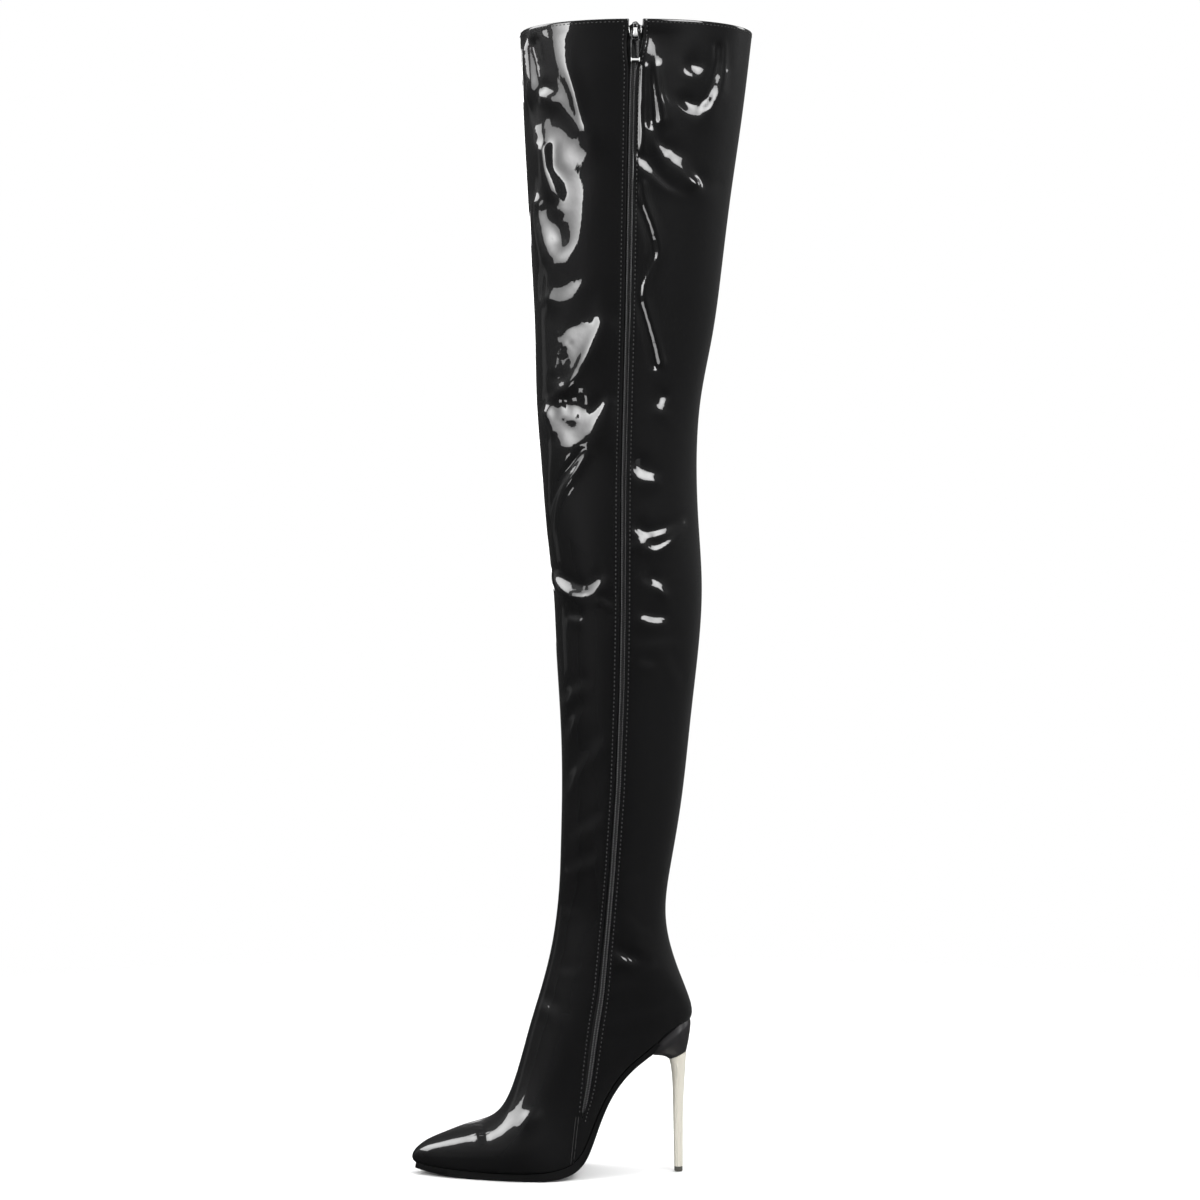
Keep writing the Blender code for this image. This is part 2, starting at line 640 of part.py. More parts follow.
def build_pull_tab(pivot, collection, cutters):
    """A flat tab that hangs from the bridge by the bar at the top of its eye. Its origin is on the bar."""
    x, y, z = pivot
    tab = box("zip_pull_tab", (TAB_WIDE, TAB_THICK, TAB_LONG), (0, 0, 0), "zip_metal", collection, 0.35)
    tab.data.transform(Matrix.Translation((0, 0, (BRIDGE_BAR / 2 - TAB_LONG / 2) * MM)))
    eye = box("pull_tab_eye", (TAB_EYE_WIDE, TAB_THICK * 3, TAB_EYE_LONG),
              (x, y, z - BRIDGE_BAR / 2 - TAB_EYE_LONG / 2), "zip_metal", cutters)
    tab.location = Vector((x, y, z)) * MM
    boolean(tab, as_cutter(eye), "DIFFERENCE")
    return tab


def main():
    for thing in list(bpy.data.objects):
        bpy.data.objects.remove(thing)
    boot = new_collection("over_the_knee_boot")
    cutters = new_collection("cutters", hidden=True)
    build_upper(boot)
    build_outsole(boot)
    build_insole(boot)
    build_heel(boot, cutters)
    build_zip(boot)
    pivot = build_slider(boot, cutters)
    build_pull_tab(pivot, boot, cutters)


main()
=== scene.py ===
import math

import bpy
import numpy as np
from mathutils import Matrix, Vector
from mathutils.bvhtree import BVHTree
from mathutils.kdtree import KDTree


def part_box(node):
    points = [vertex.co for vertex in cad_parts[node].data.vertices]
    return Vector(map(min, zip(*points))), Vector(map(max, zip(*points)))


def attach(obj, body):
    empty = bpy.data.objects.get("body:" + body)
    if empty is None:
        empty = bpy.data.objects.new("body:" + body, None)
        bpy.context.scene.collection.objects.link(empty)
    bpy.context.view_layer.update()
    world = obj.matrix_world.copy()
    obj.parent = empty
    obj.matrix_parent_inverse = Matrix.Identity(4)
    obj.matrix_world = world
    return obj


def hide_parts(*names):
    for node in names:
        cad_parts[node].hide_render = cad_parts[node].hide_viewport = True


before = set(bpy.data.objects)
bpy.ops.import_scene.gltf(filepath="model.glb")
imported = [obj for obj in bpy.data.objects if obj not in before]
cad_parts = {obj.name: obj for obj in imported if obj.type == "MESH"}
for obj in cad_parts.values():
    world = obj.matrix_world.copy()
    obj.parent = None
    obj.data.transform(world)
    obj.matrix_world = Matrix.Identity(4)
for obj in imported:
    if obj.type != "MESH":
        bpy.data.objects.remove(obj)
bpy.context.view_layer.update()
mm = 0.001
print("stage: frame loaded")

# Shape of the boot, one row a section from the toe to the collar, in millimetres
lastColumns = ("frontX", "frontZ", "backX", "backZ", "inner", "outer", "centreY", "widest", "fullFront",
               "fullBack", "opening")
lastRows = {
    "tip": (-207.5, 12.3, -207.5, 12.2, 0.1, 0.1, -6.0, 0.50, 2.0, 2.0, 0.0),
    "nose": (-206.6, 15.7, -206.2, 9.2, 4.6, 4.4, -6.0, 0.48, 2.0, 2.2, 0.0),
    "toePoint": (-203.3, 19.9, -202.2, 7.5, 9.4, 9.0, -5.9, 0.44, 2.0, 2.8, 0.0),
    "toe": (-195.0, 25.8, -193.4, 6.0, 15.8, 15.0, -5.6, 0.40, 2.0, 3.6, 5.0),
    "toeBox": (-181.5, 31.4, -178.4, 4.4, 23.4, 22.0, -5.2, 0.36, 2.0, 4.4, 12.0),
    "vampPoint": (-164.5, 37.6, -158.0, 3.4, 31.6, 29.4, -4.8, 0.33, 2.0, 5.0, 19.5),
    "vamp": (-148.0, 42.6, -134.0, 3.3, 39.8, 35.2, -4.2, 0.31, 1.95, 5.4, 26.0),
    "ball": (-137.2, 51.6, -110.0, 3.4, 44.0, 38.6, -3.6, 0.30, 1.9, 5.4, 29.0),
    "ballBack": (-129.6, 67.0, -91.6, 4.6, 42.0, 39.2, -2.8, 0.31, 1.85, 5.4, 28.0),
    "waistFront": (-122.8, 88.5, -76.2, 12.8, 36.8, 37.6, -1.8, 0.34, 1.85, 6.0, 25.0),
    "waist": (-116.2, 112.5, -66.0, 34.8, 33.0, 35.6, -1.2, 0.38, 1.85, 7.0, 22.0),
    "waistBack": (-109.7, 134.0, -55.2, 60.4, 31.6, 34.4, -0.8, 0.41, 1.85, 7.6, 21.0),
    "instep": (-103.8, 154.5, -39.8, 81.6, 31.2, 33.6, -0.4, 0.43, 1.9, 7.6, 21.0),
    "seatFront": (-99.2, 174.0, -21.8, 96.6, 31.2, 33.0, 0.0, 0.44, 1.95, 7.2, 20.0),
    "seat": (-96.2, 191.5, -4.0, 110.0, 31.2, 32.4, 0.0, 0.45, 2.0, 5.2, 16.0),
    "heelBack": (-94.3, 207.0, 9.3, 119.8, 31.2, 32.2, 0.0, 0.46, 2.0, 2.9, 0.0),
    "counter": (-93.0, 222.5, 8.2, 135.8, 31.8, 32.8, 0.0, 0.47, 2.0, 2.4, 0.0),
    "achilles": (-92.2, 239.0, -1.8, 162.0, 33.0, 34.0, 0.0, 0.48, 2.0, 2.15, 0.0),
    "ankle": (-91.7, 257.0, -9.0, 189.5, 34.6, 35.6, 0.0, 0.49, 2.0, 2.05, 0.0),
    "ankleTop": (-91.2, 277.0, -9.4, 216.0, 36.8, 37.8, 0.0, 0.50, 2.05, 2.05, 0.0),
    "shinLow": (-90.9, 303.0, -4.2, 249.0, 39.6, 40.4, 0.0, 0.50, 2.05, 2.05, 0.0),
    "shin": (-91.4, 336.0, 3.2, 296.0, 43.4, 44.0, 0.0, 0.50, 2.1, 2.05, 0.0),
    "calfLow": (-93.2, 372.0, 9.6, 354.0, 47.6, 48.2, 0.0, 0.50, 2.1, 2.05, 0.0),
    "calf": (-95.6, 412.0, 15.6, 408.0, 51.2, 51.8, 0.0, 0.50, 2.1, 2.1, 0.0),
    "calfTop": (-98.0, 455.0, 18.2, 456.0, 53.0, 53.6, 0.0, 0.50, 2.1, 2.1, 0.0),
    "underKnee": (-103.2, 502.0, 15.8, 503.0, 53.2, 53.8, 0.0, 0.50, 2.1, 2.1, 0.0),
    "knee": (-107.2, 551.0, 14.2, 551.0, 53.2, 53.8, 0.0, 0.50, 2.1, 2.1, 0.0),
    "overKnee": (-110.8, 602.0, 17.4, 602.0, 54.4, 55.0, 0.0, 0.50, 2.1, 2.1, 0.0),
    "thighLow": (-112.0, 652.0, 26.6, 652.0, 56.6, 57.2, 0.0, 0.50, 2.1, 2.1, 0.0),
    "thigh": (-114.6, 706.0, 34.0, 706.0, 58.8, 59.4, 0.0, 0.50, 2.1, 2.1, 0.0),
    "thighMid": (-117.8, 762.0, 41.0, 762.0, 60.8, 61.4, 0.0, 0.50, 2.1, 2.1, 0.0),
    "thighTop": (-121.0, 822.0, 49.6, 822.0, 62.4, 63.0, 0.0, 0.50, 2.1, 2.1, 0.0),
    "collar": (-123.8, 886.0, 57.4, 886.0, 63.4, 64.0, 0.0, 0.50, 2.1, 2.1, 0.0),
}
station = {name: number for number, name in enumerate(lastRows)}
lastStation = len(lastRows) - 1
outlineSteps = 480
bendWeight = 0.7
gap = 0.3

# The zip's middle line and slot width by height
zipPath = {
    "z": (46, 61, 78, 113, 140, 195, 235, 298, 372, 430, 533, 673, 848, 866, 886),
    "x": (-75.1, -71.6, -68.9, -64.2, -59.8, -54.9, -51.4, -47.1, -44.3, -43.3, -42.8, -39.5, -36.5, -35.2,
          -33.8),
    "slot": (1.6, 5.6, 7.6, 8.0, 7.6, 6.8, 6.4, 6.3, 6.2, 6.2, 6.2, 6.2, 6.4, 11.6, 11.6),
}
zipEnd = station["waist"]

# The leather behind the zip laps a little further over the slot
zipLap = {"wide": 1.6, "top": 868.0, "fade": 40.0}


def bendsOf(values):
    count = len(values)
    matrix = np.eye(count)
    right = np.zeros(count)
    for i in range(1, count - 1):
        matrix[i, i - 1 : i + 2] = (1, 4, 1)
        right[i] = 6 * (values[i - 1] - 2 * values[i] + values[i + 1])
    return np.linalg.solve(matrix, right)


def splineAt(values, bends, place):
    low = min(max(int(place), 0), len(values) - 2)
    up = place - low
    down = 1 - up
    bend = ((down**3 - down) * bends[low] + (up**3 - up) * bends[low + 1]) / 6
    return down * values[low] + up * values[low + 1] + bend


lastTable = {c: np.array([row[i] for row in lastRows.values()]) for i, c in enumerate(lastColumns)}
lastBends = {column: bendsOf(values) for column, values in lastTable.items()}
collarRise = lastTable["frontZ"][-1] - lastTable["frontZ"][-2]
farFromZip = 200.0
zipHeights = np.arange(40.0, 890.0, 2.0)
zipKernel = np.ones(9) / 9


def smoothLine(values):
    line = np.interp(zipHeights, zipPath["z"], values)
    return np.convolve(np.pad(line, 4, mode="edge"), zipKernel, mode="valid")


zipX = smoothLine(zipPath["x"])
zipSlot = np.interp(zipHeights, zipPath["z"], zipPath["slot"])


# A closed outline in the plane of a front and a back point
class Section:
    def __init__(self, place):
        self.row = {c: splineAt(lastTable[c], lastBends[c], place) for c in lastColumns}
        self.back = np.array([self.row["backX"], self.row["backZ"]])
        front = np.array([self.row["frontX"], self.row["frontZ"]])
        self.chord = float(np.linalg.norm(front - self.back))
        self.up = (front - self.back) / max(self.chord, 1e-6)
        self.sides = {side: self.halfOutline(side) for side in ("inner", "outer")}

    def halfOutline(self, side):
        turn = np.linspace(0, math.pi, outlineSteps + 1)
        cosine, sine = np.cos(turn), np.sin(turn)
        low = cosine > 0
        power = np.where(low, 2 / self.row["fullBack"], 2 / self.row["fullFront"])
        reach = np.abs(cosine) ** power
        widest = self.row["widest"] * self.chord
        height = np.where(low, widest * (1 - reach), widest + (self.chord - widest) * reach)
        width = self.row[side] * np.clip(sine, 0, 1) ** power
        rise, spread = np.diff(height), np.diff(width)
        run = np.concatenate([[0], np.cumsum(np.hypot(rise, spread))])
        heading = np.unwrap(np.arctan2(rise, spread))
        bend = np.concatenate([[0, 0], np.cumsum(np.abs(np.diff(heading)))])
        measure = run / max(run[-1], 1e-6) + bendWeight * bend / max(bend[-1], 1e-6)
        return height, width, run, measure

    def length(self, side):
        return self.sides[side][2][-1]

    def points(self, side, runs):
        heights, widths, allRuns, _ = self.sides[side]
        height = np.interp(runs, allRuns, heights)
        width = np.interp(runs, allRuns, widths)
        sign = -1 if side == "inner" else 1
        return np.stack([self.back[0] + self.up[0] * height, self.row["centreY"] + sign * width,
                         self.back[1] + self.up[1] * height], axis=-1)

    def spacedRuns(self, side, first, final, count):
        runs, measures = self.sides[side][2:]
        ends = np.interp((first, final), runs, measures)
        return np.interp(np.linspace(*ends, count), measures, runs)

    def runAtWidth(self, side, width):
        widths, runs = self.sides[side][1:3]
        peak = int(np.argmax(widths))
        return float(np.interp(width, widths[: peak + 1], runs[: peak + 1]))


sectionStore = {}


def sectionAt(place):
    key = round(float(place), 5)
    if key not in sectionStore:
        sectionStore[key] = Section(min(max(key, 0), lastStation))
    return sectionStore[key]


def normalsAt(place, side, runs):
    section = sectionAt(place)
    along = section.points(side, runs + 0.4) - section.points(side, runs - 0.4)
    share = runs / section.length(side)
    low, high = sectionAt(place - 0.03), sectionAt(place + 0.03)
    across = high.points(side, share * high.length(side)) - low.points(side, share * low.length(side))
    normal = np.cross(along, across) * (-1 if side == "inner" else 1)
    return normal / np.maximum(np.linalg.norm(normal, axis=-1, keepdims=True), 1e-9)


def skinPoints(place, side, runs, depth):
    runs = np.asarray(runs, dtype=float)
    return sectionAt(place).points(side, runs) - normalsAt(place, side, runs) * np.asarray(depth)[..., None]


def zipRun(place):
    section = sectionAt(max(place, zipEnd))
    heights, _, runs, _ = section.sides["inner"]
    line = section.back[:, None] + section.up[:, None] * heights
    off = line[0] - np.interp(line[1], zipHeights, zipX)
    inside = (heights > 0.1 * section.chord) & (heights < 0.9 * section.chord)
    run = float(np.interp(0, -off[inside], runs[inside]))
    height = float(np.interp(run, runs, line[1]))
    rise = np.array([np.interp(height + 5, zipHeights, zipX) - np.interp(height - 5, zipHeights, zipX), 10.0])
    rise /= np.linalg.norm(rise)
    across = abs(rise[0] * section.up[1] - rise[1] * section.up[0])
    half = float(np.interp(height, zipHeights, zipSlot)) / 2 / across
    lap = zipLap["wide"] * min(max((zipLap["top"] - height) / zipLap["fade"], 0), 1)
    lap = min(lap, 0.5 * half)
    run, half = run + lap / 2, half - lap / 2
    if place < zipEnd:
        shrink = sectionAt(place).length("inner") / section.length("inner")
        return run * shrink, half * shrink, height
    return run, half, height


def openingOf(place):
    if place <= station["toePoint"] or place >= station["heelBack"]:
        return 0.0
    return max(sectionAt(place).row["opening"], 0.0)


def evenStations(first, final, count, lean=0.6):
    dense = np.linspace(first, final, 2400)
    ends = np.array([[splineAt(lastTable[c], lastBends[c], s) for c in ("frontX", "frontZ", "backX", "backZ")]
                     for s in dense])
    steps = np.diff(ends, axis=0)
    front, back = np.hypot(steps[:, 0], steps[:, 1]), np.hypot(steps[:, 2], steps[:, 3])
    reach = lean * np.maximum(front, back) + (1 - lean) * np.minimum(front, back)
    total = np.concatenate([[0], np.cumsum(reach)])
    return np.interp(np.linspace(0, total[-1], count), total, dense)


def smoothStep(low, high, values):
    share = np.clip((np.asarray(values, dtype=float) - low) / (high - low), 0, 1)
    return share * share * (3 - 2 * share)


# Makes a mesh piece from points in millimetres and puts it on its body
def addPiece(name, points, faces, material, body="boot", swaps=(), smooth=True, sharp=None):
    mesh = bpy.data.meshes.new(name)
    points = np.asarray(points, dtype=float)
    mesh.from_pydata((points * mm).tolist(), [], [tuple(int(i) for i in f) for f in faces])
    mesh.validate()
    if smooth:
        mesh.shade_smooth()
    if sharp:
        mesh.set_sharp_from_angle(angle=math.radians(sharp))
    mesh.materials.append(material)
    thing = bpy.data.objects.new(name, mesh)
    bpy.context.scene.collection.objects.link(thing)
    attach(thing, body)
    for node in swaps:
        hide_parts(node)
    return thing


# Quad faces of a grid of rows; a closed one joins its last column to its first
def gridFaces(rows, columns, closed=False, start=0, skip=None):
    across = columns if closed else columns - 1
    row, column = np.meshgrid(np.arange(rows - 1), np.arange(across), indexing="ij")
    nextColumn = (column + 1) % columns
    here = start + row * columns + column
    quads = np.stack([here, start + row * columns + nextColumn, start + (row + 1) * columns + nextColumn,
                      here + columns], axis=-1)
    if skip is not None:
        return quads[~skip]
    return quads.reshape(-1, 4)


# Many copies of one small mesh, each with its place and three axes
def arrayOf(templatePoints, templateFaces, places, axes):
    count = len(places)
    points = places[:, None, :] + np.einsum("pk,nkc->npc", templatePoints, axes)
    offsets = np.arange(count)[:, None, None] * len(templatePoints)
    faces = np.asarray(templateFaces)[None] + offsets
    return points.reshape(-1, 3), faces.reshape(-1, np.asarray(templateFaces).shape[1])


# A capsule along its first axis, as a grid of quads closed at each end
def capsule(length, radiusSide, radiusUp, sides=8, rings=3):
    ends = np.linspace(0, math.pi / 2, rings + 1)
    profile = [(-length / 2 + radiusSide * (1 - math.sin(a)), math.sin(a)) for a in ends]
    profile += [(-x, r) for x, r in reversed(profile)]
    profile = [(x, max(r, 0.02)) for x, r in profile]
    turns = np.linspace(0, 2 * math.pi, sides, endpoint=False)
    points = [(x, radiusSide * r * math.cos(t), radiusUp * r * math.sin(t)) for x, r in profile
              for t in turns]
    return np.array(points), gridFaces(len(profile), sides, closed=True)


# Shader groups
def newGroup(name, inputs, outputs):
    tree = bpy.data.node_groups.new(name, "ShaderNodeTree")
    for title, value in inputs.items():
        socket = tree.interface.new_socket(name=title, in_out="INPUT", socket_type="NodeSocketFloat")
        socket.default_value = value
    for title, kind in outputs.items():
        tree.interface.new_socket(name=title, in_out="OUTPUT", socket_type=kind)
    return tree, tree.nodes.new("NodeGroupInput"), tree.nodes.new("NodeGroupOutput")


def mathNode(tree, operation, first, second=None, clamp=False):
    node = tree.nodes.new("ShaderNodeMath")
    node.operation = operation
    node.use_clamp = clamp
    for socket, value in zip(node.inputs, (first, second)):
        if value is None:
            continue
        if isinstance(value, (int, float)):
            socket.default_value = value
        else:
            tree.links.new(value, socket)
    return node.outputs[0]


# Two sizes of soft unevenness, as a height
def makeGrain():
    tree, given, out = newGroup("softGrain", {"Fine Scale": 900.0, "Fine Amount": 0.2, "Broad Scale": 90.0,
                                              "Broad Amount": 1.0}, {"Height": "NodeSocketFloat"})
    place = tree.nodes.new("ShaderNodeTexCoord").outputs["Object"]
    heights = []
    for size in ("Fine", "Broad"):
        cloud = tree.nodes.new("ShaderNodeTexNoise")
        cloud.inputs["Detail"].default_value = 2.0
        tree.links.new(place, cloud.inputs["Vector"])
        tree.links.new(given.outputs[size + " Scale"], cloud.inputs["Scale"])
        heights.append(mathNode(tree, "MULTIPLY", cloud.outputs["Fac"], given.outputs[size + " Amount"]))
    tree.links.new(mathNode(tree, "ADD", *heights), out.inputs["Height"])
    return tree


# Handling marks, as a value that goes up where the surface is duller
def makeSmudge():
    tree, given, out = newGroup("smudge", {"Scale": 14.0, "Clean": 0.05, "Smudged": 0.14},
                                {"Roughness": "NodeSocketFloat"})
    place = tree.nodes.new("ShaderNodeTexCoord").outputs["Object"]
    cloud = tree.nodes.new("ShaderNodeTexNoise")
    cloud.inputs["Detail"].default_value = 4.0
    tree.links.new(place, cloud.inputs["Vector"])
    tree.links.new(given.outputs["Scale"], cloud.inputs["Scale"])
    spread = tree.nodes.new("ShaderNodeMapRange")
    spread.inputs["From Min"].default_value = 0.4
    spread.inputs["From Max"].default_value = 0.75
    tree.links.new(cloud.outputs["Fac"], spread.inputs["Value"])
    tree.links.new(given.outputs["Clean"], spread.inputs["To Min"])
    tree.links.new(given.outputs["Smudged"], spread.inputs["To Max"])
    tree.links.new(spread.outputs["Result"], out.inputs["Roughness"])
    return tree


# Crossed threads, as a height
def makeWeave():
    tree, given, out = newGroup("weave", {"Scale": 900.0}, {"Height": "NodeSocketFloat"})
    place = tree.nodes.new("ShaderNodeTexCoord").outputs["Object"]
    threads = []
    for direction in ("X", "Z"):
        wave = tree.nodes.new("ShaderNodeTexWave")
        wave.bands_direction = direction
        wave.inputs["Distortion"].default_value = 0.6
        tree.links.new(place, wave.inputs["Vector"])
        tree.links.new(given.outputs["Scale"], wave.inputs["Scale"])
        threads.append(wave.outputs["Fac"])
    tree.links.new(mathNode(tree, "MULTIPLY", *threads), out.inputs["Height"])
    return tree


# Fine marks along the length of a drawn metal, as a height and a roughness
def makeDrawn():
    tree, given, out = newGroup("drawnMetal", {"Across": 500.0, "Along": 6.0},
                                {"Height": "NodeSocketFloat", "Roughness": "NodeSocketFloat"})
    place = tree.nodes.new("ShaderNodeTexCoord").outputs["Object"]
    stretch = tree.nodes.new("ShaderNodeCombineXYZ")
    parts = tree.nodes.new("ShaderNodeSeparateXYZ")
    tree.links.new(place, parts.inputs[0])
    for axis, rate in (("X", "Across"), ("Y", "Across"), ("Z", "Along")):
        scaled = mathNode(tree, "MULTIPLY", parts.outputs[axis], given.outputs[rate])
        tree.links.new(scaled, stretch.inputs[axis])
    cloud = tree.nodes.new("ShaderNodeTexNoise")
    cloud.inputs["Scale"].default_value = 1.0
    cloud.inputs["Detail"].default_value = 3.0
    tree.links.new(stretch.outputs[0], cloud.inputs["Vector"])
    tree.links.new(cloud.outputs["Fac"], out.inputs["Height"])
    spread = tree.nodes.new("ShaderNodeMapRange")
    spread.inputs["To Min"].default_value = 0.2
    spread.inputs["To Max"].default_value = 0.38
    tree.links.new(cloud.outputs["Fac"], spread.inputs["Value"])
    tree.links.new(spread.outputs["Result"], out.inputs["Roughness"])
    return tree


groups = {"grain": makeGrain(), "smudge": makeSmudge(), "weave": makeWeave(), "drawn": makeDrawn()}


def newMaterial(name, values):
    material = bpy.data.materials.new(name)
    material.use_nodes = True
    shader = material.node_tree.nodes["Principled BSDF"]
    for title, value in values.items():
        socket = shader.inputs[title]
        socket.default_value = (*value, 1.0) if isinstance(value, tuple) else value
    return material, material.node_tree, shader


def useGroup(tree, kind, values):
    node = tree.nodes.new("ShaderNodeGroup")
    node.node_tree = groups[kind]
    for title, value in values.items():
        node.inputs[title].default_value = value
    return node


def addBump(tree, shader, height, strength, distance, targets=("Normal",)):
    bump = tree.nodes.new("ShaderNodeBump")
    bump.inputs["Strength"].default_value = strength
    bump.inputs["Distance"].default_value = distance
    tree.links.new(height, bump.inputs["Height"])
    for target in targets:
        tree.links.new(bump.outputs["Normal"], shader.inputs[target])


def leatherMaterial(name, colour, rough, coat, coatRough, shine=0.35):
    material, tree, shader = newMaterial(name, {
        "Base Color": colour, "Roughness": rough, "Specular IOR Level": shine, "Coat Weight": coat,
        "Coat IOR": 1.5, "Coat Roughness": coatRough})
    grain = useGroup(tree, "grain", {"Fine Scale": 420.0, "Fine Amount": 0.12, "Broad Scale": 70.0,
                                     "Broad Amount": 1.0})
    addBump(tree, shader, grain.outputs["Height"], 0.12, 0.0012, ("Normal", "Coat Normal"))
    smudge = useGroup(tree, "smudge", {"Scale": 11.0, "Clean": rough, "Smudged": rough + 0.1})
    tree.links.new(smudge.outputs["Roughness"], shader.inputs["Roughness"])
    return material


def clothMaterial(name, colour, rough, scale):
    material, tree, shader = newMaterial(name, {
        "Base Color": colour, "Roughness": rough, "Sheen Weight": 0.15})
    weave = useGroup(tree, "weave", {"Scale": scale})
    addBump(tree, shader, weave.outputs["Height"], 0.4, 0.0003)
    return material


def plainMaterial(name, colour, rough, metallic=0.0, coat=0.0, shine=0.5):
    material, tree, shader = newMaterial(name, {
        "Base Color": colour, "Metallic": metallic, "Coat Weight": coat, "Coat Roughness": 0.05,
        "Specular IOR Level": shine})
    smudge = useGroup(tree, "smudge", {"Scale": 60.0, "Clean": rough, "Smudged": rough * 1.5})
    tree.links.new(smudge.outputs["Roughness"], shader.inputs["Roughness"])
    return material


def drawnMaterial(name, colour, metallic):
    material, tree, shader = newMaterial(name, {
        "Base Color": colour, "Metallic": metallic, "Coat Weight": 0.4, "Coat Roughness": 0.08})
    drawn = useGroup(tree, "drawn", {"Across": 420.0, "Along": 5.0})
    tree.links.new(drawn.outputs["Roughness"], shader.inputs["Roughness"])
    addBump(tree, shader, drawn.outputs["Height"], 0.1, 0.0002)
    return material


patent = leatherMaterial("patentLeather", (0.0027, 0.0027, 0.0029), 0.4, 1.0, 0.03, shine=0.08)
heelBlack = leatherMaterial("heelCoverBlack", (0.015, 0.014, 0.0155), 0.5, 0.2, 0.35)
lining = clothMaterial("liningCloth", (0.012, 0.012, 0.013), 0.7, 700.0)
insoleBoard = clothMaterial("insoleCloth", (0.016, 0.016, 0.017), 0.65, 500.0)
tapeCloth = clothMaterial("zipTapeCloth", (0.004, 0.004, 0.0045), 0.85, 1100.0)
soleBlack = plainMaterial("soleBlack", (0.004, 0.004, 0.0042), 0.5, shine=0.15)
thread = plainMaterial("stitchThread", (0.032, 0.032, 0.032), 0.6, shine=0.35)
seamBlack = plainMaterial("seamThread", (0.018, 0.018, 0.018), 0.7)
coilBlack = plainMaterial("zipCoilBlack", (0.1, 0.1, 0.102), 0.5)
blackMetal = plainMaterial("zipBlackMetal", (0.003, 0.003, 0.0032), 0.12, coat=1.0)
# Pale metal on small slider and tab parts: painted highlights where the dark enamel would shine
paintedGlintMetal = plainMaterial("zipPaintedGlintMetal", (0.86, 0.86, 0.85), 0.3, metallic=0.55)
paleMetal = drawnMaterial("heelPaleMetal", (0.74, 0.71, 0.62), 0.3)
tipRubber = plainMaterial("heelTipRubber", (0.07, 0.068, 0.058), 0.55)
print("stage: materials made")

# Upper leather: the CAD skin at a finer step, with creases laid on it
upperSizes = {
    "footRows": 175, "thighRows": 275, "backColumns": 72, "frontColumns": 72, "outerColumns": 46,
    "edgeOffsets": (7.5, 5.6, 4.3, 3.5, 3.0, 2.5, 1.7, 0.8, 0.2),
    "edgeFold": ((0.0, 0.25), (-0.15, 0.9), (-0.6, 1.6)),
    "rim": ((0.05, -0.45), (0.3, -0.1), (0.9, 0.0), (1.45, -0.1), (1.75, -0.5), (1.8, -5.0)),
    "closer": 0.4, "stitchLine": 3.0, "stitchGroove": 0.2, "edgeRoll": 0.2,
}


# Draws columns closer together towards the zip, where the sharp folds are
def closer(runs):
    share = np.linspace(0, 1, len(runs))
    share = share + upperSizes["closer"] * np.sin(math.pi * share) / math.pi
    return np.interp(share * (len(runs) - 1), np.arange(len(runs)), runs)


def upperRow(place):
    section = sectionAt(place)
    opening = openingOf(place)
    centre, half, height = zipRun(place)
    shrink = min(section.length("inner") / sectionAt(zipEnd).length("inner"), 1)
    whole = section.length("inner")
    margin = section.runAtWidth("inner", opening) if opening else 0.0
    offsets = np.array(upperSizes["edgeOffsets"]) * shrink
    opened = 1.0 if place > zipEnd else 0.0
    folds = np.array(upperSizes["edgeFold"])
    behind = section.spacedRuns("inner", margin, centre - half - offsets[0], upperSizes["backColumns"])
    behind = closer(behind)[:-1]
    before = section.spacedRuns("inner", centre + half + offsets[0], whole, upperSizes["frontColumns"])[1:]
    foldRuns = half + folds[:, 0] * shrink
    inner = np.concatenate([behind, centre - half - offsets, centre - foldRuns, centre + foldRuns[::-1],
                            centre + half + offsets[::-1], before])
    sink = folds[:, 1] * opened
    flat = np.zeros(len(offsets))
    innerDepth = np.concatenate([np.zeros(len(behind)), flat, sink, sink[::-1], flat, np.zeros(len(before))])
    margin = section.runAtWidth("outer", opening) if opening else 0.0
    outer = section.spacedRuns("outer", margin, section.length("outer"), upperSizes["outerColumns"])[-2::-1]
    points = np.concatenate([skinPoints(place, "inner", inner, innerDepth),
                             skinPoints(place, "outer", outer, np.zeros(len(outer)))])
    away = np.concatenate([np.abs(inner - centre) - half, np.full(len(outer), farFromZip)])
    return points, away, len(behind) + len(offsets) + len(folds)


def upperGrid():
    places = np.concatenate([evenStations(0.0, station["calf"], upperSizes["footRows"])[:-1],
                             evenStations(station["calf"], lastStation, upperSizes["thighRows"])])
    rows, aways = [], []
    for place in places:
        points, away, slotColumn = upperRow(place)
        rows.append(points)
        aways.append(away)
    return places, np.array(rows), np.array(aways), slotColumn


def gridNormals(grid, slotColumn):
    down = np.gradient(grid, axis=0)
    halves = (grid[:, :slotColumn], grid[:, slotColumn:])
    across = np.concatenate([np.gradient(half, axis=1) for half in halves], axis=1)
    normal = np.cross(down, across)
    return normal / np.maximum(np.linalg.norm(normal, axis=-1, keepdims=True), 1e-9)
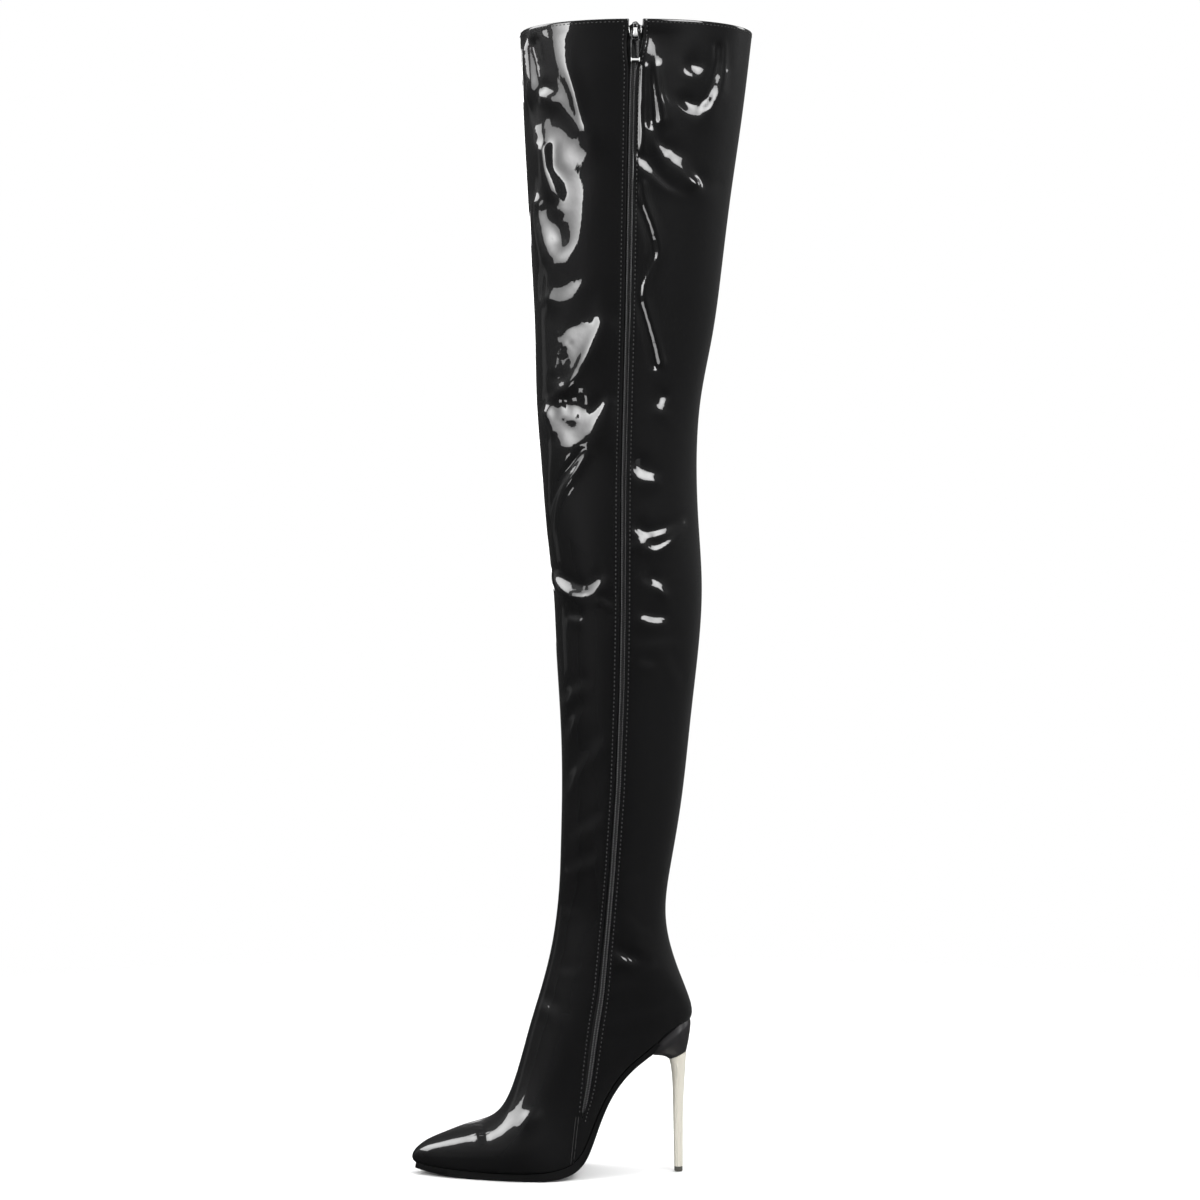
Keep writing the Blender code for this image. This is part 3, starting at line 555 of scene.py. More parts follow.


# Creases on the side that has the zip, drawn in the side view: x and z of the line, half width and height.
# A fold is raised on its left hand and sunk on its right, and a ridge is raised all along.
# The lines were drawn by hand over the photo. A scratch program turned them into millimetres, fitted their
# heights to the photo's highlights and wrote this table. Some points were changed after that.
creases = (
    ("fold", ((-89.4, 879.5, 17.2, -0.23), (-90.2, 865.9, 14.0, -0.23), (-87.1, 852.7, 7.8, -0.14),
              (-82.5, 840.9, 6.2, -0.03), (-78.7, 827.8, 5.5, 0.13), (-76.4, 816.2, 5.5, 0.20),
              (-73.4, 804.7, 5.5, 0.09))),
    ("ridge", ((-89.4, 879.5, 17.2, 0.40), (-90.2, 865.9, 14.0, 0.82), (-87.1, 852.7, 7.8, 1.21),
              (-82.5, 840.9, 6.2, 1.57), (-78.7, 827.8, 5.5, 1.56), (-76.4, 816.2, 5.5, 1.18),
              (-73.4, 804.7, 5.5, 0.80))),
    ("fold", ((-115.9, 870.5, 6.2, -1.85), (-114.3, 857.1, 7.8, -2.13), (-112.8, 843.7, 7.8, -1.83),
              (-115.2, 832.2, 7.8, -1.20))),
    ("ridge", ((-115.9, 870.5, 6.2, 0.15), (-114.3, 857.1, 7.8, 0.83), (-112.8, 843.7, 7.8, 1.48),
              (-115.2, 832.2, 7.8, 2.16))),
    ("fold", ((-104.9, 834.4, 4.7, -1.23), (-97.9, 831.1, 4.7, -0.62), (-91.0, 830.3, 6.2, -0.05),
              (-85.6, 823.0, 5.5, 0.05), (-81.0, 814.3, 4.7, -0.23), (-76.4, 807.1, 4.7, -0.34))),
    ("ridge", ((-104.9, 834.4, 4.7, -0.06), (-97.9, 831.1, 4.7, -0.23), (-91.0, 830.3, 6.2, -0.35),
              (-85.6, 823.0, 5.5, -0.17), (-81.0, 814.3, 4.7, -0.20), (-76.4, 807.1, 4.7, -0.35))),
    ("fold", ((-102.6, 806.7, 9.4, -1.20), (-94.8, 793.5, 14.0, -0.67), (-86.4, 785.1, 15.6, 0.32),
              (-77.2, 781.4, 14.0, 1.69))),
    ("ridge", ((-102.6, 806.7, 9.4, -1.19), (-94.8, 793.5, 14.0, -0.89), (-86.4, 785.1, 15.6, -0.59),
              (-77.2, 781.4, 14.0, -0.07))),
    ("fold", ((-97.2, 775.5, 7.8, 0.01), (-90.2, 768.7, 9.4, 0.01), (-83.3, 759.1, 12.5, 0.02),
              (-81.0, 747.5, 12.5, 0.31), (-81.0, 736.2, 10.9, 0.41), (-81.8, 725.6, 8.6, 0.23),
              (-85.6, 716.0, 7.0, 0.13), (-91.8, 708.1, 7.8, 0.41), (-98.0, 700.3, 7.8, 0.61),
              (-101.9, 690.1, 6.2, 0.86), (-103.5, 678.9, 4.7, 1.18))),
    ("ridge", ((-97.2, 775.5, 7.8, -0.04), (-90.2, 768.7, 9.4, -0.17), (-83.3, 759.1, 12.5, -0.38),
              (-81.0, 747.5, 12.5, -0.64), (-81.0, 736.2, 10.9, -0.38), (-81.8, 725.6, 8.6, 0.32),
              (-85.6, 716.0, 7.0, 0.78), (-91.8, 708.1, 7.8, 0.79), (-98.0, 700.3, 7.8, 0.88),
              (-101.9, 690.1, 6.2, 0.88), (-103.5, 678.9, 4.7, 0.89))),
    ("fold", ((-106.6, 748.7, 7.8, -1.94), (-107.4, 737.5, 9.4, -2.08), (-103.5, 725.4, 10.9, -2.25),
              (-98.8, 714.9, 12.5, -2.20))),
    ("ridge", ((-106.6, 748.7, 7.8, 1.34), (-107.4, 737.5, 9.4, 2.19), (-103.5, 725.4, 10.9, 2.23),
              (-98.8, 714.9, 12.5, 1.90))),
    ("fold", ((-100.4, 677.7, 6.2, -0.61), (-92.6, 677.7, 7.0, -0.38), (-84.9, 681.0, 7.0, -0.23),
              (-78.7, 686.7, 6.2, -0.31))),
    ("ridge", ((-100.4, 677.7, 6.2, 0.62), (-92.6, 677.7, 7.0, 0.05), (-84.9, 681.0, 7.0, -0.30),
              (-78.7, 686.7, 6.2, -0.43))),
    ("fold", ((-63.5, 655.1, 7.8, 1.77), (-68.1, 645.3, 9.4, 1.59), (-72.6, 635.6, 6.2, 1.00),
              (-77.2, 625.1, 3.9, 0.61), (-81.8, 616.1, 3.9, 0.46), (-88.0, 608.0, 3.2, 0.24),
              (-95.7, 602.3, 3.2, 0.14), (-102.8, 599.1, 3.2, 0.24))),
    ("ridge", ((-63.5, 655.1, 7.8, 0.14), (-68.1, 645.3, 9.4, -0.04), (-72.6, 635.6, 6.2, -0.04),
              (-77.2, 625.1, 3.9, 0.01), (-81.8, 616.1, 3.9, 0.20), (-88.0, 608.0, 3.2, 0.40),
              (-95.7, 602.3, 3.2, 0.42), (-102.8, 599.1, 3.2, 0.38))),
    ("fold", ((-70.3, 656.8, 4.7, -0.09), (-80.3, 655.6, 6.2, 0.48), (-87.2, 647.6, 6.2, 0.27),
              (-91.1, 637.9, 5.5, 0.13), (-94.2, 628.2, 4.7, -0.10), (-95.7, 621.4, 4.7, -0.27))),
    ("ridge", ((-70.3, 656.8, 4.7, 0.46), (-80.3, 655.6, 6.2, -0.33), (-87.2, 647.6, 6.2, -0.63),
              (-91.1, 637.9, 5.5, -0.56), (-94.2, 628.2, 4.7, -0.17), (-95.7, 621.4, 4.7, 0.44))),
    ("fold", ((-78.7, 651.0, 7.8, 0.41), (-81.0, 639.7, 7.8, 0.56), (-82.6, 629.1, 5.5, 0.55))),
    ("ridge", ((-78.7, 651.0, 7.8, -0.69), (-81.0, 639.7, 7.8, -0.44), (-82.6, 629.1, 5.5, -0.19))),
    ("fold", ((-102.8, 591.4, 6.2, -0.57), (-95.0, 590.0, 6.2, -0.48), (-87.2, 589.6, 6.2, -0.30),
              (-78.8, 590.8, 6.2, -0.25))),
    ("ridge", ((-102.8, 591.4, 6.2, 0.25), (-95.0, 590.0, 6.2, -0.69), (-87.2, 589.6, 6.2, -0.93),
              (-78.8, 590.8, 6.2, -0.35))),
    ("fold", ((-101.2, 589.0, 6.2, -0.35), (-99.7, 580.4, 6.2, -0.40), (-97.3, 574.1, 4.7, -0.02))),
    ("ridge", ((-101.2, 589.0, 6.2, 2.78), (-99.7, 580.4, 6.2, 2.03), (-97.3, 574.1, 4.7, 1.34))),
    ("fold", ((-56.6, 595.8, 4.7, 0.96), (-61.2, 587.4, 7.8, 1.83), (-67.3, 579.9, 10.9, 2.01),
              (-74.9, 572.5, 10.9, 1.47), (-83.4, 565.1, 9.4, 0.65), (-88.8, 557.6, 6.2, 0.09),
              (-94.2, 549.5, 4.7, -0.16), (-98.2, 539.7, 3.9, -0.21), (-99.8, 528.3, 3.9, -0.17),
              (-100.6, 513.0, 3.9, -0.11), (-99.9, 498.4, 3.9, -0.04), (-93.5, 492.0, 3.9, 0.02))),
    ("ridge", ((-56.6, 595.8, 4.7, 0.35), (-61.2, 587.4, 7.8, 0.58), (-67.3, 579.9, 10.9, 0.34),
              (-74.9, 572.5, 10.9, -0.21), (-83.4, 565.1, 9.4, -0.43), (-88.8, 557.6, 6.2, -0.28),
              (-94.2, 549.5, 4.7, -0.13), (-98.2, 539.7, 3.9, -0.03), (-99.8, 528.3, 3.9, 0.01),
              (-100.6, 513.0, 3.9, 0.03), (-99.9, 498.4, 3.9, 0.03), (-93.5, 492.0, 3.9, 0.02))),
    ("fold", ((-74.9, 599.1, 4.7, 0.55), (-73.4, 589.9, 6.2, 0.16), (-71.1, 582.3, 6.2, 0.10))),
    ("ridge", ((-74.9, 599.1, 4.7, 0.12), (-73.4, 589.9, 6.2, 0.23), (-71.1, 582.3, 6.2, 0.19))),
    ("fold", ((-97.7, 465.2, 7.8, 0.23), (-92.0, 458.1, 7.8, -0.28), (-84.2, 451.9, 7.8, -0.82),
              (-76.5, 449.6, 7.0, -1.19), (-68.8, 451.1, 6.2, -1.04), (-63.5, 455.7, 6.2, -0.86),
              (-58.9, 461.0, 4.7, -0.72))),
    ("ridge", ((-97.7, 465.2, 7.8, 1.20), (-92.0, 458.1, 7.8, 1.41), (-84.2, 451.9, 7.8, 1.37),
              (-76.5, 449.6, 7.0, 0.88), (-68.8, 451.1, 6.2, 0.55), (-63.5, 455.7, 6.2, 0.21),
              (-58.9, 461.0, 4.7, -0.11))),
    ("fold", ((-91.9, 579.9, 4.7, -0.54), (-89.5, 573.7, 6.2, -0.33), (-84.1, 566.6, 6.2, -0.19))),
    ("ridge", ((-91.9, 579.9, 4.7, -0.16), (-89.5, 573.7, 6.2, 0.21), (-84.1, 566.6, 6.2, -0.05))),
    ("fold", ((-113.6, 824.1, 12.5, 0.52), (-102.6, 822.6, 12.5, 0.52), (-91.7, 815.2, 10.9, 0.88),
              (-82.5, 803.8, 9.4, 1.21), (-73.4, 794.1, 9.4, 1.12))),
    ("ridge", ((-113.6, 824.1, 12.5, -0.64), (-102.6, 822.6, 12.5, -0.90), (-91.7, 815.2, 10.9, -0.85),
              (-82.5, 803.8, 9.4, -0.41), (-73.4, 794.1, 9.4, 0.13))),
    ("fold", ((-103.4, 790.1, 6.2, -0.89), (-101.8, 774.6, 6.2, -1.07), (-94.8, 758.5, 7.8, -0.93),
              (-94.1, 739.5, 7.8, -0.38), (-91.0, 724.0, 6.2, 0.50))),
    ("ridge", ((-103.4, 790.1, 6.2, 2.00), (-101.8, 774.6, 6.2, 1.47), (-94.8, 758.5, 7.8, 1.00),
              (-94.1, 739.5, 7.8, 0.39), (-91.0, 724.0, 6.2, -0.16))),
    ("fold", ((-98.0, 669.8, 7.8, 0.35), (-84.1, 668.0, 9.4, 0.14), (-70.3, 671.9, 10.9, -0.19))),
    ("ridge", ((-98.0, 669.8, 7.8, 0.23), (-84.1, 668.0, 9.4, -0.53), (-70.3, 671.9, 10.9, -1.08))),
    ("fold", ((-87.2, 640.0, 3.2, -0.37), (-88.0, 628.6, 6.2, 0.07), (-89.5, 614.9, 6.2, 0.56))),
    ("ridge", ((-87.2, 640.0, 3.2, 0.22), (-88.0, 628.6, 6.2, -0.58), (-89.5, 614.9, 6.2, -1.15))),
    ("fold", ((-81.8, 555.9, 12.5, -2.09), (-85.7, 536.9, 18.7, -1.31), (-87.3, 517.8, 18.7, -0.66),
              (-85.7, 498.7, 18.7, -0.21), (-80.3, 479.5, 12.5, 0.14))),
    ("ridge", ((-81.8, 555.9, 12.5, 0.12), (-85.7, 536.9, 18.7, 0.12), (-87.3, 517.8, 18.7, 0.05),
              (-85.7, 498.7, 18.7, -0.05), (-80.3, 479.5, 12.5, -0.18))),
    ("fold", ((-88.0, 599.6, 6.2, 0.98), (-70.3, 608.9, 12.5, 0.54), (-64.2, 624.0, 12.5, 0.06))),
    ("ridge", ((-88.0, 599.6, 6.2, -2.09), (-70.3, 608.9, 12.5, -0.57), (-64.2, 624.0, 12.5, 0.79))),
    ("fold", ((-30.5, 848.4, 3.7, 1.95), (-30.5, 831.7, 3.7, 1.51), (-30.5, 809.1, 3.7, 1.80),
              (-30.9, 786.4, 3.1, 1.31))),
    ("fold", ((-24.8, 868.1, 10.9, -1.83), (-21.0, 862.1, 12.5, -1.02), (-18.0, 855.3, 9.4, -0.02))),
    ("ridge", ((-24.8, 868.1, 10.9, -1.40), (-21.0, 862.1, 12.5, -0.58), (-18.0, 855.3, 9.4, 0.24))),
    ("fold", ((-21.8, 850.0, 3.0, 0.97), (-21.0, 839.4, 3.0, 1.57), (-19.5, 828.1, 3.1, 1.61),
              (-17.9, 816.8, 5.0, 2.49), (-17.2, 810.0, 5.0, 2.40))),
    ("fold", ((-14.9, 806.3, 3.9, 0.19), (-17.2, 799.5, 3.2, -0.22), (-17.9, 794.2, 3.2, -0.58),
              (-14.9, 789.0, 3.9, -0.69), (-9.5, 785.4, 4.7, -0.30))),
    ("ridge", ((-14.9, 806.3, 3.9, 0.90), (-17.2, 799.5, 3.2, -0.12), (-17.9, 794.2, 3.2, -0.70),
              (-14.9, 789.0, 3.9, -0.32), (-9.5, 785.4, 4.7, 0.50))),
    ("fold", ((-8.8, 783.9, 6.2, -0.79), (-3.4, 780.4, 7.8, -0.87), (2.0, 773.9, 7.8, -0.86),
              (6.6, 767.4, 7.0, -0.93), (11.3, 762.5, 4.7, -0.98))),
    ("ridge", ((-8.8, 783.9, 6.2, -1.31), (-3.4, 780.4, 7.8, -0.10), (2.0, 773.9, 7.8, 1.23),
              (6.6, 767.4, 7.0, 2.14), (11.3, 762.5, 4.7, 2.92))),
    ("fold", ((12.9, 763.3, 4.7, -1.10), (16.8, 759.2, 7.8, -0.65), (20.7, 758.1, 7.8, -0.29),
              (25.5, 761.0, 7.8, -0.01), (29.4, 766.9, 4.7, 0.22))),
    ("ridge", ((12.9, 763.3, 4.7, 1.40), (16.8, 759.2, 7.8, 0.85), (20.7, 758.1, 7.8, 0.38),
              (25.5, 761.0, 7.8, 0.02), (29.4, 766.9, 4.7, -0.28))),
    ("fold", ((1.1, 828.9, 4.7, 0.30), (7.3, 827.7, 4.7, 0.30), (13.5, 823.7, 4.7, 0.04),
              (19.7, 823.5, 4.7, -0.45))),
    ("ridge", ((1.1, 828.9, 4.7, -0.17), (7.3, 827.7, 4.7, -0.39), (13.5, 823.7, 4.7, -0.58),
              (19.7, 823.5, 4.7, -0.69))),
    ("fold", ((30.5, 868.4, 3.2, 0.89), (30.6, 856.4, 3.2, 1.37), (29.0, 844.1, 4.7, 1.66),
              (27.5, 834.1, 5.5, 1.64), (23.6, 825.4, 4.7, 1.50), (18.9, 818.1, 6.2, 1.25),
              (14.3, 812.4, 7.8, 0.76), (8.8, 819.5, 6.2, 0.41), (4.2, 824.5, 4.7, 0.36))),
    ("ridge", ((30.5, 868.4, 3.2, -2.26), (30.6, 856.4, 3.2, -1.47), (29.0, 844.1, 4.7, -0.23),
              (27.5, 834.1, 5.5, 0.85), (23.6, 825.4, 4.7, 1.60), (18.9, 818.1, 6.2, 1.77),
              (14.3, 812.4, 7.8, 0.92), (8.8, 819.5, 6.2, -0.83), (4.2, 824.5, 4.7, -2.27))),
    ("fold", ((9.6, 849.8, 6.2, -1.23), (18.1, 847.4, 6.2, -0.36))),
    ("ridge", ((9.6, 849.8, 6.2, -1.72), (18.1, 847.4, 6.2, 0.48))),
    ("fold", ((-30.1, 778.9, 6.2, -1.32), (-27.0, 774.4, 6.2, -0.93), (-22.5, 771.4, 4.7, -0.59),
              (-15.6, 764.0, 3.2, -0.56), (-8.7, 758.2, 3.2, -0.48), (2.8, 753.5, 3.2, -0.24),
              (13.7, 752.9, 3.2, 0.02))),
    ("ridge", ((-30.1, 778.9, 6.2, -0.58), (-27.0, 774.4, 6.2, -0.27), (-22.5, 771.4, 4.7, -0.17),
              (-15.6, 764.0, 3.2, -0.15), (-8.7, 758.2, 3.2, -0.06), (2.8, 753.5, 3.2, 0.00),
              (13.7, 752.9, 3.2, 0.06))),
    ("fold", ((-31.6, 760.0, 3.0, 1.25), (-30.1, 748.7, 3.0, 1.26), (-26.3, 738.9, 3.0, 1.31),
              (-21.7, 726.9, 3.1, 1.53), (-18.6, 715.6, 3.1, 1.77), (-17.9, 705.8, 3.1, 1.90),
              (-20.9, 700.5, 3.0, 1.52), (-26.2, 691.3, 3.0, 1.45), (-29.3, 682.2, 3.0, 1.46),
              (-30.0, 674.6, 3.0, 1.40), (-27.0, 664.8, 3.0, 1.39), (-23.1, 652.0, 3.0, 1.61),
              (-19.3, 638.5, 3.0, 1.86), (-16.2, 624.9, 3.0, 2.17))),
    ("fold", ((-13.1, 600.8, 6.2, 0.72), (-16.2, 593.9, 6.2, 0.37), (-13.8, 587.8, 6.2, -0.02))),
    ("ridge", ((-13.1, 600.8, 6.2, -3.34), (-16.2, 593.9, 6.2, -0.70), (-13.8, 587.8, 6.2, 2.26))),
    ("fold", ((-33.0, 548.6, 6.2, -0.97), (-30.0, 541.8, 7.8, -1.29), (-24.6, 538.8, 7.0, -1.28),
              (-20.0, 536.6, 4.7, -0.93))),
    ("ridge", ((-33.0, 548.6, 6.2, -2.94), (-30.0, 541.8, 7.8, -0.94), (-24.6, 538.8, 7.0, 0.56),
              (-20.0, 536.6, 4.7, 1.70))),
    ("fold", ((-32.3, 498.3, 4.7, -1.43), (-26.1, 494.5, 4.7, -1.42), (-18.5, 495.4, 3.9, -1.27),
              (-8.4, 498.5, 3.9, -0.94), (3.3, 504.2, 3.9, -0.12))),
    ("ridge", ((-32.3, 498.3, 4.7, -1.05), (-26.1, 494.5, 4.7, -0.32), (-18.5, 495.4, 3.9, -0.10),
              (-8.4, 498.5, 3.9, 0.33), (3.3, 504.2, 3.9, 0.4))),
    ("fold", ((-36.1, 486.9, 3.9, -0.79), (-30.7, 488.4, 4.7, -1.09), (-24.6, 483.9, 4.7, -1.14),
              (-18.5, 482.4, 4.7, -1.00), (-10.8, 486.3, 3.9, -0.70), (-3.0, 491.7, 3.9, -0.10),
              (3.3, 501.1, 3.2, 0.2))),
    ("ridge", ((-36.1, 486.9, 3.9, 1.10), (-30.7, 488.4, 4.7, 1.23), (-24.6, 483.9, 4.7, 1.46),
              (-18.5, 482.4, 4.7, 1.97), (-10.8, 486.3, 3.9, 2.35), (-3.0, 491.7, 3.9, 2.0),
              (3.3, 501.1, 3.2, 0.5))),
    ("fold", ((-21.6, 460.2, 5.5, -1.49), (-17.0, 455.7, 6.2, -0.62), (-13.1, 448.8, 3.9, 0.26))),
    ("ridge", ((-21.6, 460.2, 5.5, -2.09), (-17.0, 455.7, 6.2, 0.46), (-13.1, 448.8, 3.9, 3.00))),
    ("fold", ((-84.2, 435.8, 5.5, 0.22), (-80.4, 432.7, 6.2, 0.11), (-76.5, 430.4, 4.7, 0.01))),
    ("fold", ((-27.5, 431.5, 4.7, -1.4), (-20.8, 429.0, 6.2, -1.95), (-13.8, 429.4, 4.7, -1.55))),
)
# Fainter creases and small dents on the same side, drawn over the photo too, with heights given one by one
faintCreases = (
    ("fold", ((-39, 290, 4, -0.48), (-32, 296, 4, -0.8), (-25, 303, 4, -0.48))),
    ("fold", ((-61, 278, 4.5, 0.48), (-70, 272, 4.5, 0.8), (-83, 263, 4.5, 0.48))),
    ("fold", ((-44, 228, 3.5, -0.48), (-34, 231, 3.5, -0.8), (-21, 233, 3.5, -0.8), (-9, 236, 3.5, -0.48))),
    ("fold", ((-44, 221, 3.5, -0.38), (-31, 225, 3.5, -0.64), (-9, 226, 3.5, -0.38))),
    ("ridge", ((-45, 210, 3.2, -0.43), (-38, 204, 3.2, -0.72), (-31, 197, 3.2, -0.72),
               (-25, 193, 3.2, -0.43))),
    ("fold", ((-51, 145, 4.5, -0.48), (-38, 151, 4.5, -0.8), (-27, 159, 4.5, -0.8), (-21, 164, 4.5, -0.48))),
    ("fold", ((-29, 242, 4, -0.38), (-27, 248, 4, -0.64), (-24, 254, 4, -0.38))),
    ("fold", ((4, 330, 4.5, 0.38), (-6, 325, 4.5, 0.64), (-15, 321, 4.5, 0.38))),
    ("fold", ((-87, 342, 5, -0.58), (-83, 352, 5, -0.96), (-76, 361, 5, -0.58))),
    ("fold", ((-87, 300, 5.5, -0.58), (-80, 314, 5.5, -0.96), (-69, 329, 5.5, -0.96),
              (-61, 337, 5.5, -0.58))),
    ("fold", ((-92, 365, 5, -0.58), (-83, 376, 5, -0.96), (-73, 381, 5, -0.58))),
    ("fold", ((-86, 236, 4.5, -0.48), (-76, 242, 4.5, -0.8), (-67, 246, 4.5, -0.48))),
    ("fold", ((-87, 204, 3.2, -0.38), (-80, 205, 3.2, -0.38))),
    ("fold", ((-89, 158, 3.2, -0.38), (-79, 159, 3.2, -0.38))),
    ("fold", ((-107, 133, 5, -0.48), (-98, 130, 5, -0.8), (-90, 123, 5, -0.48))),
    ("fold", ((-51, 120, 6, -0.48), (-34, 127, 6, -0.8), (-15, 129, 6, -0.48))),
    ("fold", ((-58, 92, 6, -0.48), (-40, 104, 6, -0.8), (-23, 112, 6, -0.48))),
    ("fold", ((-31, 411, 5, -0.48), (-15, 414, 5, -0.8), (-3, 413, 5, -0.48))),
    ("fold", ((-9, 403, 5, -0.48), (-5, 393, 5, -0.8), (-0, 385, 5, -0.48))),
    ("fold", ((-49, 173.5, 3.8, -1.2), (-46, 171.2, 4.2, -2.0), (-42.5, 169.3, 4.2, -2.0),
              (-38.5, 167.8, 4.2, -2.0), (-34, 166.5, 4.2, -1.8), (-28, 165.5, 4, -0.3))),
    ("ridge", ((-121.5, 37, 5, 0), (-118.5, 41.5, 6.5, 2.2), (-115, 46, 7, 4.0), (-110.5, 50, 6.5, 2.2),
               (-106, 53.5, 5, 0))),
    ("fold", ((-154.8, 42, 3, 0), (-153.9, 38.5, 3.2, -0.6), (-153, 35, 3.2, -0.8), (-152.1, 31.5, 3.2, -0.8),
              (-151.2, 28, 3, -0.4))),
    ("fold", ((-29, 397.5, 3.5, -0.7), (-24.5, 396, 4, -1.45), (-20.5, 395.5, 3.5, -0.7))),
    ("fold", ((-85, 432, 3.5, -0.7), (-80.5, 431, 4, -1.6), (-76.5, 431, 3.5, -0.7))),
    ("fold", ((-60, 446, 3, -0.9), (-57, 444, 3.2, -1.5), (-54, 442, 3, -0.9))),
    ("fold", ((-99, 468, 5, -0.8), (-94, 461, 5, -1.6), (-87, 455, 5, -1.8), (-80, 452, 4.5, -1.3),
              (-74, 451, 4, -0.4))),
    ("fold", ((-73.4, 557.3, 3, 0.6), (-82.6, 544.3, 3.5, 1.3), (-90.2, 532.9, 3.5, 1.1),
              (-94.8, 521.4, 3.5, 0.8), (-97.9, 506.1, 3.5, 0.4), (-99.4, 494.7, 3, 0.2))),
)
# Soft folds of the other side, which the picture does not show
outerCreases = (
    ("fold", ((-112, 842, 7, 1.0), (-85, 822, 9, 1.8), (-50, 815, 10, 2.0), (-20, 825, 8, 1.2))),
    ("fold", ((-30, 800, 7, 1.0), (0, 775, 9, 1.9), (22, 770, 7, 1.1))),
    ("fold", ((-105, 745, 7, 0.9), (-75, 725, 9, 1.7), (-45, 722, 8, 1.2))),
    ("fold", ((-60, 690, 8, 1.0), (-25, 672, 10, 2.0), (8, 680, 8, 1.2))),
    ("fold", ((-98, 640, 7, 1.0), (-70, 618, 9, 1.9), (-35, 612, 9, 1.6), (-10, 622, 7, 0.8))),
    ("fold", ((-70, 560, 7, 1.0), (-40, 545, 9, 1.9), (-8, 550, 8, 1.3))),
    ("fold", ((-92, 520, 6, 0.9), (-70, 505, 8, 1.6), (-45, 508, 7, 1.0))),
    ("fold", ((-60, 470, 7, 1.0), (-30, 455, 9, 1.8), (-5, 462, 7, 1.0))),
    ("fold", ((-85, 300, 6, 0.6), (-60, 290, 7, 1.0), (-35, 296, 6, 0.7))),
    ("fold", ((-60, 205, 6, 0.8), (-35, 193, 7, 1.2), (-12, 200, 6, 0.8))),
    ("ridge", ((-60, 830, 12, -1.2), (-64, 700, 12, -0.8), (-62, 600, 10, -0.6))),
)
creaseSizes = {"step": 1.5, "zipFade": (0.3, 3.5), "collarFade": (3.0, 12.0), "turnFade": (0.06, 0.30),
               "reach": 3.2}


# Puts a drawn line on the skin: places, directions across it, widths and heights along it
def lineOnSkin(line, tree, points, normals):
    line = np.asarray(line, dtype=float)
    gaps = np.concatenate([[0], np.cumsum(np.hypot(*np.diff(line[:, :2], axis=0).T))])
    fine = np.linspace(0, gaps[-1], max(int(gaps[-1] / creaseSizes["step"]), 2))
    soft = np.stack([np.interp(fine, gaps, column) for column in line.T], axis=-1)
    for _ in range(6):
        soft[1:-1] = (soft[:-2] + 2 * soft[1:-1] + soft[2:]) / 4
    places, facing = np.zeros((len(fine), 3)), np.zeros((len(fine), 3))
    for i, (x, z) in enumerate(soft[:, :2]):
        near = tree.find_n((x, 0, z), 4)
        share = np.array([1 / (0.2 + found[2]) for found in near])
        index = [found[1] for found in near]
        share /= share.sum()
        places[i] = (x, share @ points[index, 1], z)
        facing[i] = share @ normals[index]
    ahead = np.gradient(places, axis=0)
    across = np.cross(facing, ahead)
    across /= np.maximum(np.linalg.norm(across, axis=1, keepdims=True), 1e-9)
    return places, across, soft[:, 2], soft[:, 3]


# The same for a seam, as places and the way the skin faces there
def seamSkin(line):
    places, across, _, _ = lineOnSkin(line, *innerSkin)
    facing = np.cross(np.gradient(places, axis=0), across)
    return places, facing / np.linalg.norm(facing, axis=1, keepdims=True)


def creaseShape(kind, places, across, widths, heights, points):
    reach = creaseSizes["reach"] * widths.max()
    low, high = places.min(axis=0) - reach, places.max(axis=0) + reach
    near = np.all((points > low) & (points < high), axis=1)
    lift = np.zeros(len(points))
    apart = points[near][:, None, :] - places[None]
    far = np.einsum("psk,psk->ps", apart, apart)
    nearest = far.min(axis=1)
    weight = np.exp(-(far - nearest[:, None]) / (0.5 * widths[None] ** 2))
    weight /= weight.sum(axis=1, keepdims=True)
    side = (weight * np.einsum("psk,sk->ps", apart, across)).sum(axis=1)
    width, height = weight @ widths, weight @ heights
    beyond = np.maximum(nearest - side**2, 0) / width**2
    share = side / width
    profile = share * np.exp(0.5 - 0.5 * share**2) if kind == "fold" else np.exp(-(share**2))
    lift[near] = height * profile * np.exp(-beyond)
    return lift


# How far the creases lift each point; skin holds the drawn lines, already laid on it
def creaseLift(points, facing, away, skin):
    turned = {hand: smoothStep(*creaseSizes["turnFade"], hand * facing[:, 1]) for hand in (-1, 1)}
    lift = np.zeros(len(points))
    for hand, kind, places, across, widths, heights in skin:
        lift += creaseShape(kind, places, across, widths, heights, points) * turned[hand]
    hold = smoothStep(*creaseSizes["zipFade"], away)
    return lift * hold * smoothStep(*creaseSizes["collarFade"], lastTable["frontZ"][-1] - points[:, 2])


innerSkin = []


def drawCreases(grid, normals):
    points, facing = grid.reshape(-1, 3), normals.reshape(-1, 3)
    skin = []
    for hand, lines in ((-1, creases + faintCreases), (1, outerCreases)):
        seen = np.flatnonzero(hand * facing[:, 1] > -0.1)
        tree = KDTree(len(seen))
        for number, index in enumerate(seen):
            tree.insert((points[index, 0], 0, points[index, 2]), number)
        tree.balance()
        skin += [(hand, kind, *lineOnSkin(line, tree, points[seen], facing[seen])) for kind, line in lines]
        if hand < 0:
            innerSkin[:] = tree, points[seen], facing[seen]
    return skin


# The turned edge beside the zip swells a little, and the stitches pull a groove in it
def zipEdge(away):
    roll = upperSizes["edgeRoll"] * np.exp(-(((away - 1.4) / 0.9) ** 2))
    return roll - upperSizes["stitchGroove"] * np.exp(-(((away - upperSizes["stitchLine"]) / 0.7) ** 2))


